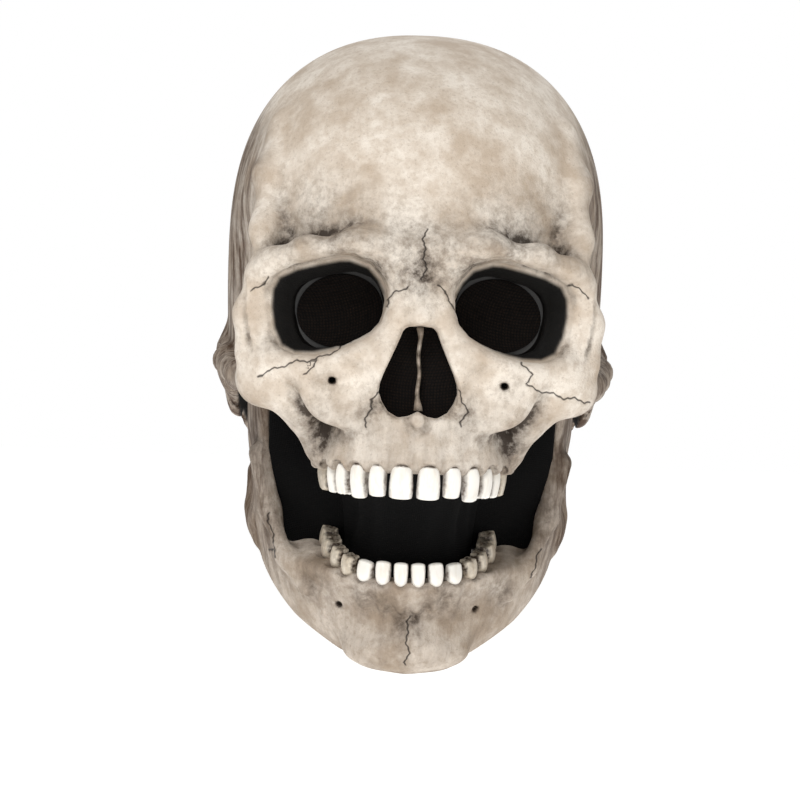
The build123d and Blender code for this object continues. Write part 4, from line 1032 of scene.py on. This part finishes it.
def nape_grid(x0, x1, z0, z1, proud, columns=61, rows=17):
    """A patch that follows the back of the vault at a stand-off, between two widths and heights."""
    px = np.linspace(x0, x1, columns)[None] + 0 * np.zeros((rows, 1))
    pz = np.linspace(z1, z0, rows)[:, None] + 0 * px
    drop = (widest[1] - pz) / 100
    wide = (half_width + proud) * (1 - 0.10 * drop ** 2)
    reach = (1 - (np.abs(px) / wide) ** 2.3) ** (1 / 2.1)
    py = widest[0] + reach * (back - widest[0] + proud) * (1 - 0.30 * drop ** 2)
    return np.stack([px, py, pz], -1)


pile = woven("nylon_loop_pile", "#4a4a4e", "#151517", 1.2, 1.2, 0.95, 0.9)
# piece, node, box of x and z, stand-off, thickness, material, body, slot
strap_box, patch_box = (-13.6, 35.8, -32.3, -7.7), (14.2, 33.8, -30.3, -9.7)
strap_parts = [
    ("strap_tab_webbing", "strap_tab", (-36, -14.4, -32.3, -7.7), 1.0, 1.4, webbing, "cranium", "webbing"),
    ("nape_webbing", "nape_strap", strap_box, 2.45, 1.4, webbing, "nape_strap_end", "webbing"),
    ("loop_patch_pile", "loop_patch", patch_box, 0.45, 0.5, pile, "cranium", "loop_pile"),
    ("hook_patch_pile", "hook_patch", patch_box, 1.25, 0.5, pile, "nape_strap_end", "hook_pile"),
]
for name, node, box, proud, thick, material, body, slot_name in strap_parts:
    cloth = sheet_mesh(name, nape_grid(*box, proud), thick)
    soft(cloth, material, body, node)

# ======== hardware ========================================================================
# Pivot rivets in nickelled steel, brass eyelets, acetal washers and caps, nickelled press studs,
# and the moulded rings of the eye screens. The septum is a strip of painted latex.


def worn_metal(name, colour, roughness):
    """Plated and tumbled metal: bright, with a fine cloudy wear that dulls it in patches."""
    material, tree, shader = new_material(name, roughness, Metallic=1.0)
    place = add(tree, "TexCoord").outputs["Object"]
    wear = add(tree, "TexNoise", {"Vector": place, "Scale": 1 / 0.0015, "Detail": 4})
    tone = mix(tree, wear.outputs["Fac"], linear(colour), linear("#6d6a66"))
    tree.links.new(tone.outputs[0], shader.inputs["Base Color"])
    rough = remap(tree, wear.outputs["Fac"], 0, 1, roughness * 0.7, roughness * 1.5)
    tree.links.new(rough.outputs[0], shader.inputs["Roughness"])
    return material


def moulded(name, colour, roughness):
    """Injection-moulded plastic with a fine spark-eroded texture, 0.4 mm."""
    material, tree, shader = new_material(name, roughness)
    place = add(tree, "TexCoord").outputs["Object"]
    grain = add(tree, "TexNoise", {"Vector": place, "Scale": 1 / 0.0004, "Detail": 2})
    tone = mix(tree, grain.outputs["Fac"], linear(colour), linear("#3c3b3a"))
    tree.links.new(tone.outputs[0], shader.inputs["Base Color"])
    bump = add(tree, "Bump", {"Height": grain.outputs["Fac"], "Strength": 0.2, "Distance": 0.0001})
    tree.links.new(bump.outputs[0], shader.inputs["Normal"])
    return material


nickel = worn_metal("nickel_plated_steel", "#c9c6c0", 0.28)
brass = worn_metal("brass", "#c9a15a", 0.30)
acetal = moulded("black_acetal", "#191919", 0.42)
for nodes, material in ((("pivot_rivets", "upper_snaps", "lower_snaps", "chin_strap_studs"), nickel),
                        (("jaw_eyelets",), brass),
                        (("spacer_washers", "pivot_caps", "eye_screen_ring_left",
                           "eye_screen_ring_right"), acetal)):
    for node in nodes:
        for slot_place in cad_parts[node].material_slots:
            slot_place.material = material

# the septum: a thin ragged strip, wider at the top and bottom, painted and left dark at its edges
v = np.linspace(0, 1, 61)[:, None]
t = np.linspace(0, 2 * np.pi, 24, endpoint=False)[None]
thick = 0.9 + 0.7 * np.exp(-(v / 0.1) ** 2) + 1.1 * np.exp(-((1 - v) / 0.12) ** 2)
fore_edge = -101.5 - 2.5 * np.sin(v * 9) * 0.25 - 1.5 * np.cos(v * math.pi) ** 2
depth_of = (fore_edge + 96.2) / 2
grid = np.stack([thick * np.cos(t) + 0.35 * np.sin(v * 14) + 0 * t, -96.2 + depth_of * (1 + np.sin(t)),
                 15.6 - 37.4 * v + 0 * t], -1)
points, faces = closed_tube(grid)
septum = mesh_object("nose_septum", points, faces)
put(septum.data, "paint", 0.25 + 0.35 * np.abs(np.sin(points[:, 2] * 0.5)), np.full(len(points), 0.3),
    step_up(points[:, 1], -101.0, -97.5))
put(septum.data, "marks", np.full(len(points), 9.0), np.full(len(points), 9.0), np.zeros(len(points)))
septum.data.materials.append(bone_paint)
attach(septum, "cranium")
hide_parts("nasal_septum")

# ======== stage ===========================================================================
# A white floor under the mask and soft light all round it, as in a plain studio.

bpy.ops.mesh.primitive_plane_add(size=30, location=(0, 0, -0.34))
floor = bpy.context.active_object
floor.name = "floor"
floor_paint, _, floor_shader = new_material("white_floor", 0.9)
floor_shader.inputs["Base Color"].default_value = linear("#f7f6f4")
floor_shader.inputs["Emission Color"].default_value = linear("#ffffff")
floor_shader.inputs["Emission Strength"].default_value = 0.75
floor.data.materials.append(floor_paint)

world = bpy.data.worlds.new("studio")
bpy.context.scene.world = world
world.use_nodes = True
seen = add(world.node_tree, "LightPath").outputs["Is Camera Ray"]
brightness = remap(world.node_tree, seen, 0, 1, 0.30, 1.0)
backdrop = world.node_tree.nodes["Background"]
world.node_tree.links.new(brightness.outputs[0], backdrop.inputs["Strength"])
backdrop.inputs["Color"].default_value = (1, 1, 1, 1)
for name, place, size, power in (("key", (-0.55, -1.6, 1.35), 0.8, 24), ("fill", (1.2, -1.6, 0.1), 1.4, 5),
                                 ("back", (0.4, 1.6, 1.6), 1.2, 14)):
    light = bpy.data.lights.new(name, "AREA")
    light.size, light.energy = size, power
    lamp = bpy.data.objects.new(name, light)
    lamp.location = place
    lamp.rotation_euler = (Vector((0, 0, 0)) - Vector(place)).to_track_quat("-Z", "Y").to_euler()
    bpy.context.scene.collection.objects.link(lamp)

camera_data = bpy.data.cameras.new("camera")
camera_data.sensor_width = 36
distance = 1.5
camera_data.lens = 36 * distance / (800 * 0.0004786)
camera_data.shift_x = -11 / 800
camera = bpy.data.objects.new("camera", camera_data)
bpy.context.scene.collection.objects.link(camera)
yaw, roll = math.radians(1.7), math.radians(2.0)
aim = Vector((0, 0, -0.017))
camera.location = aim + distance * Vector((-math.sin(yaw), -math.cos(yaw), 0))
look = (aim - camera.location).to_track_quat("-Z", "Y").to_matrix()
camera.rotation_euler = (look @ Matrix.Rotation(roll, 3, "Z")).to_euler()
bpy.context.scene.camera = camera
bpy.context.scene.view_settings.view_transform = "Standard"
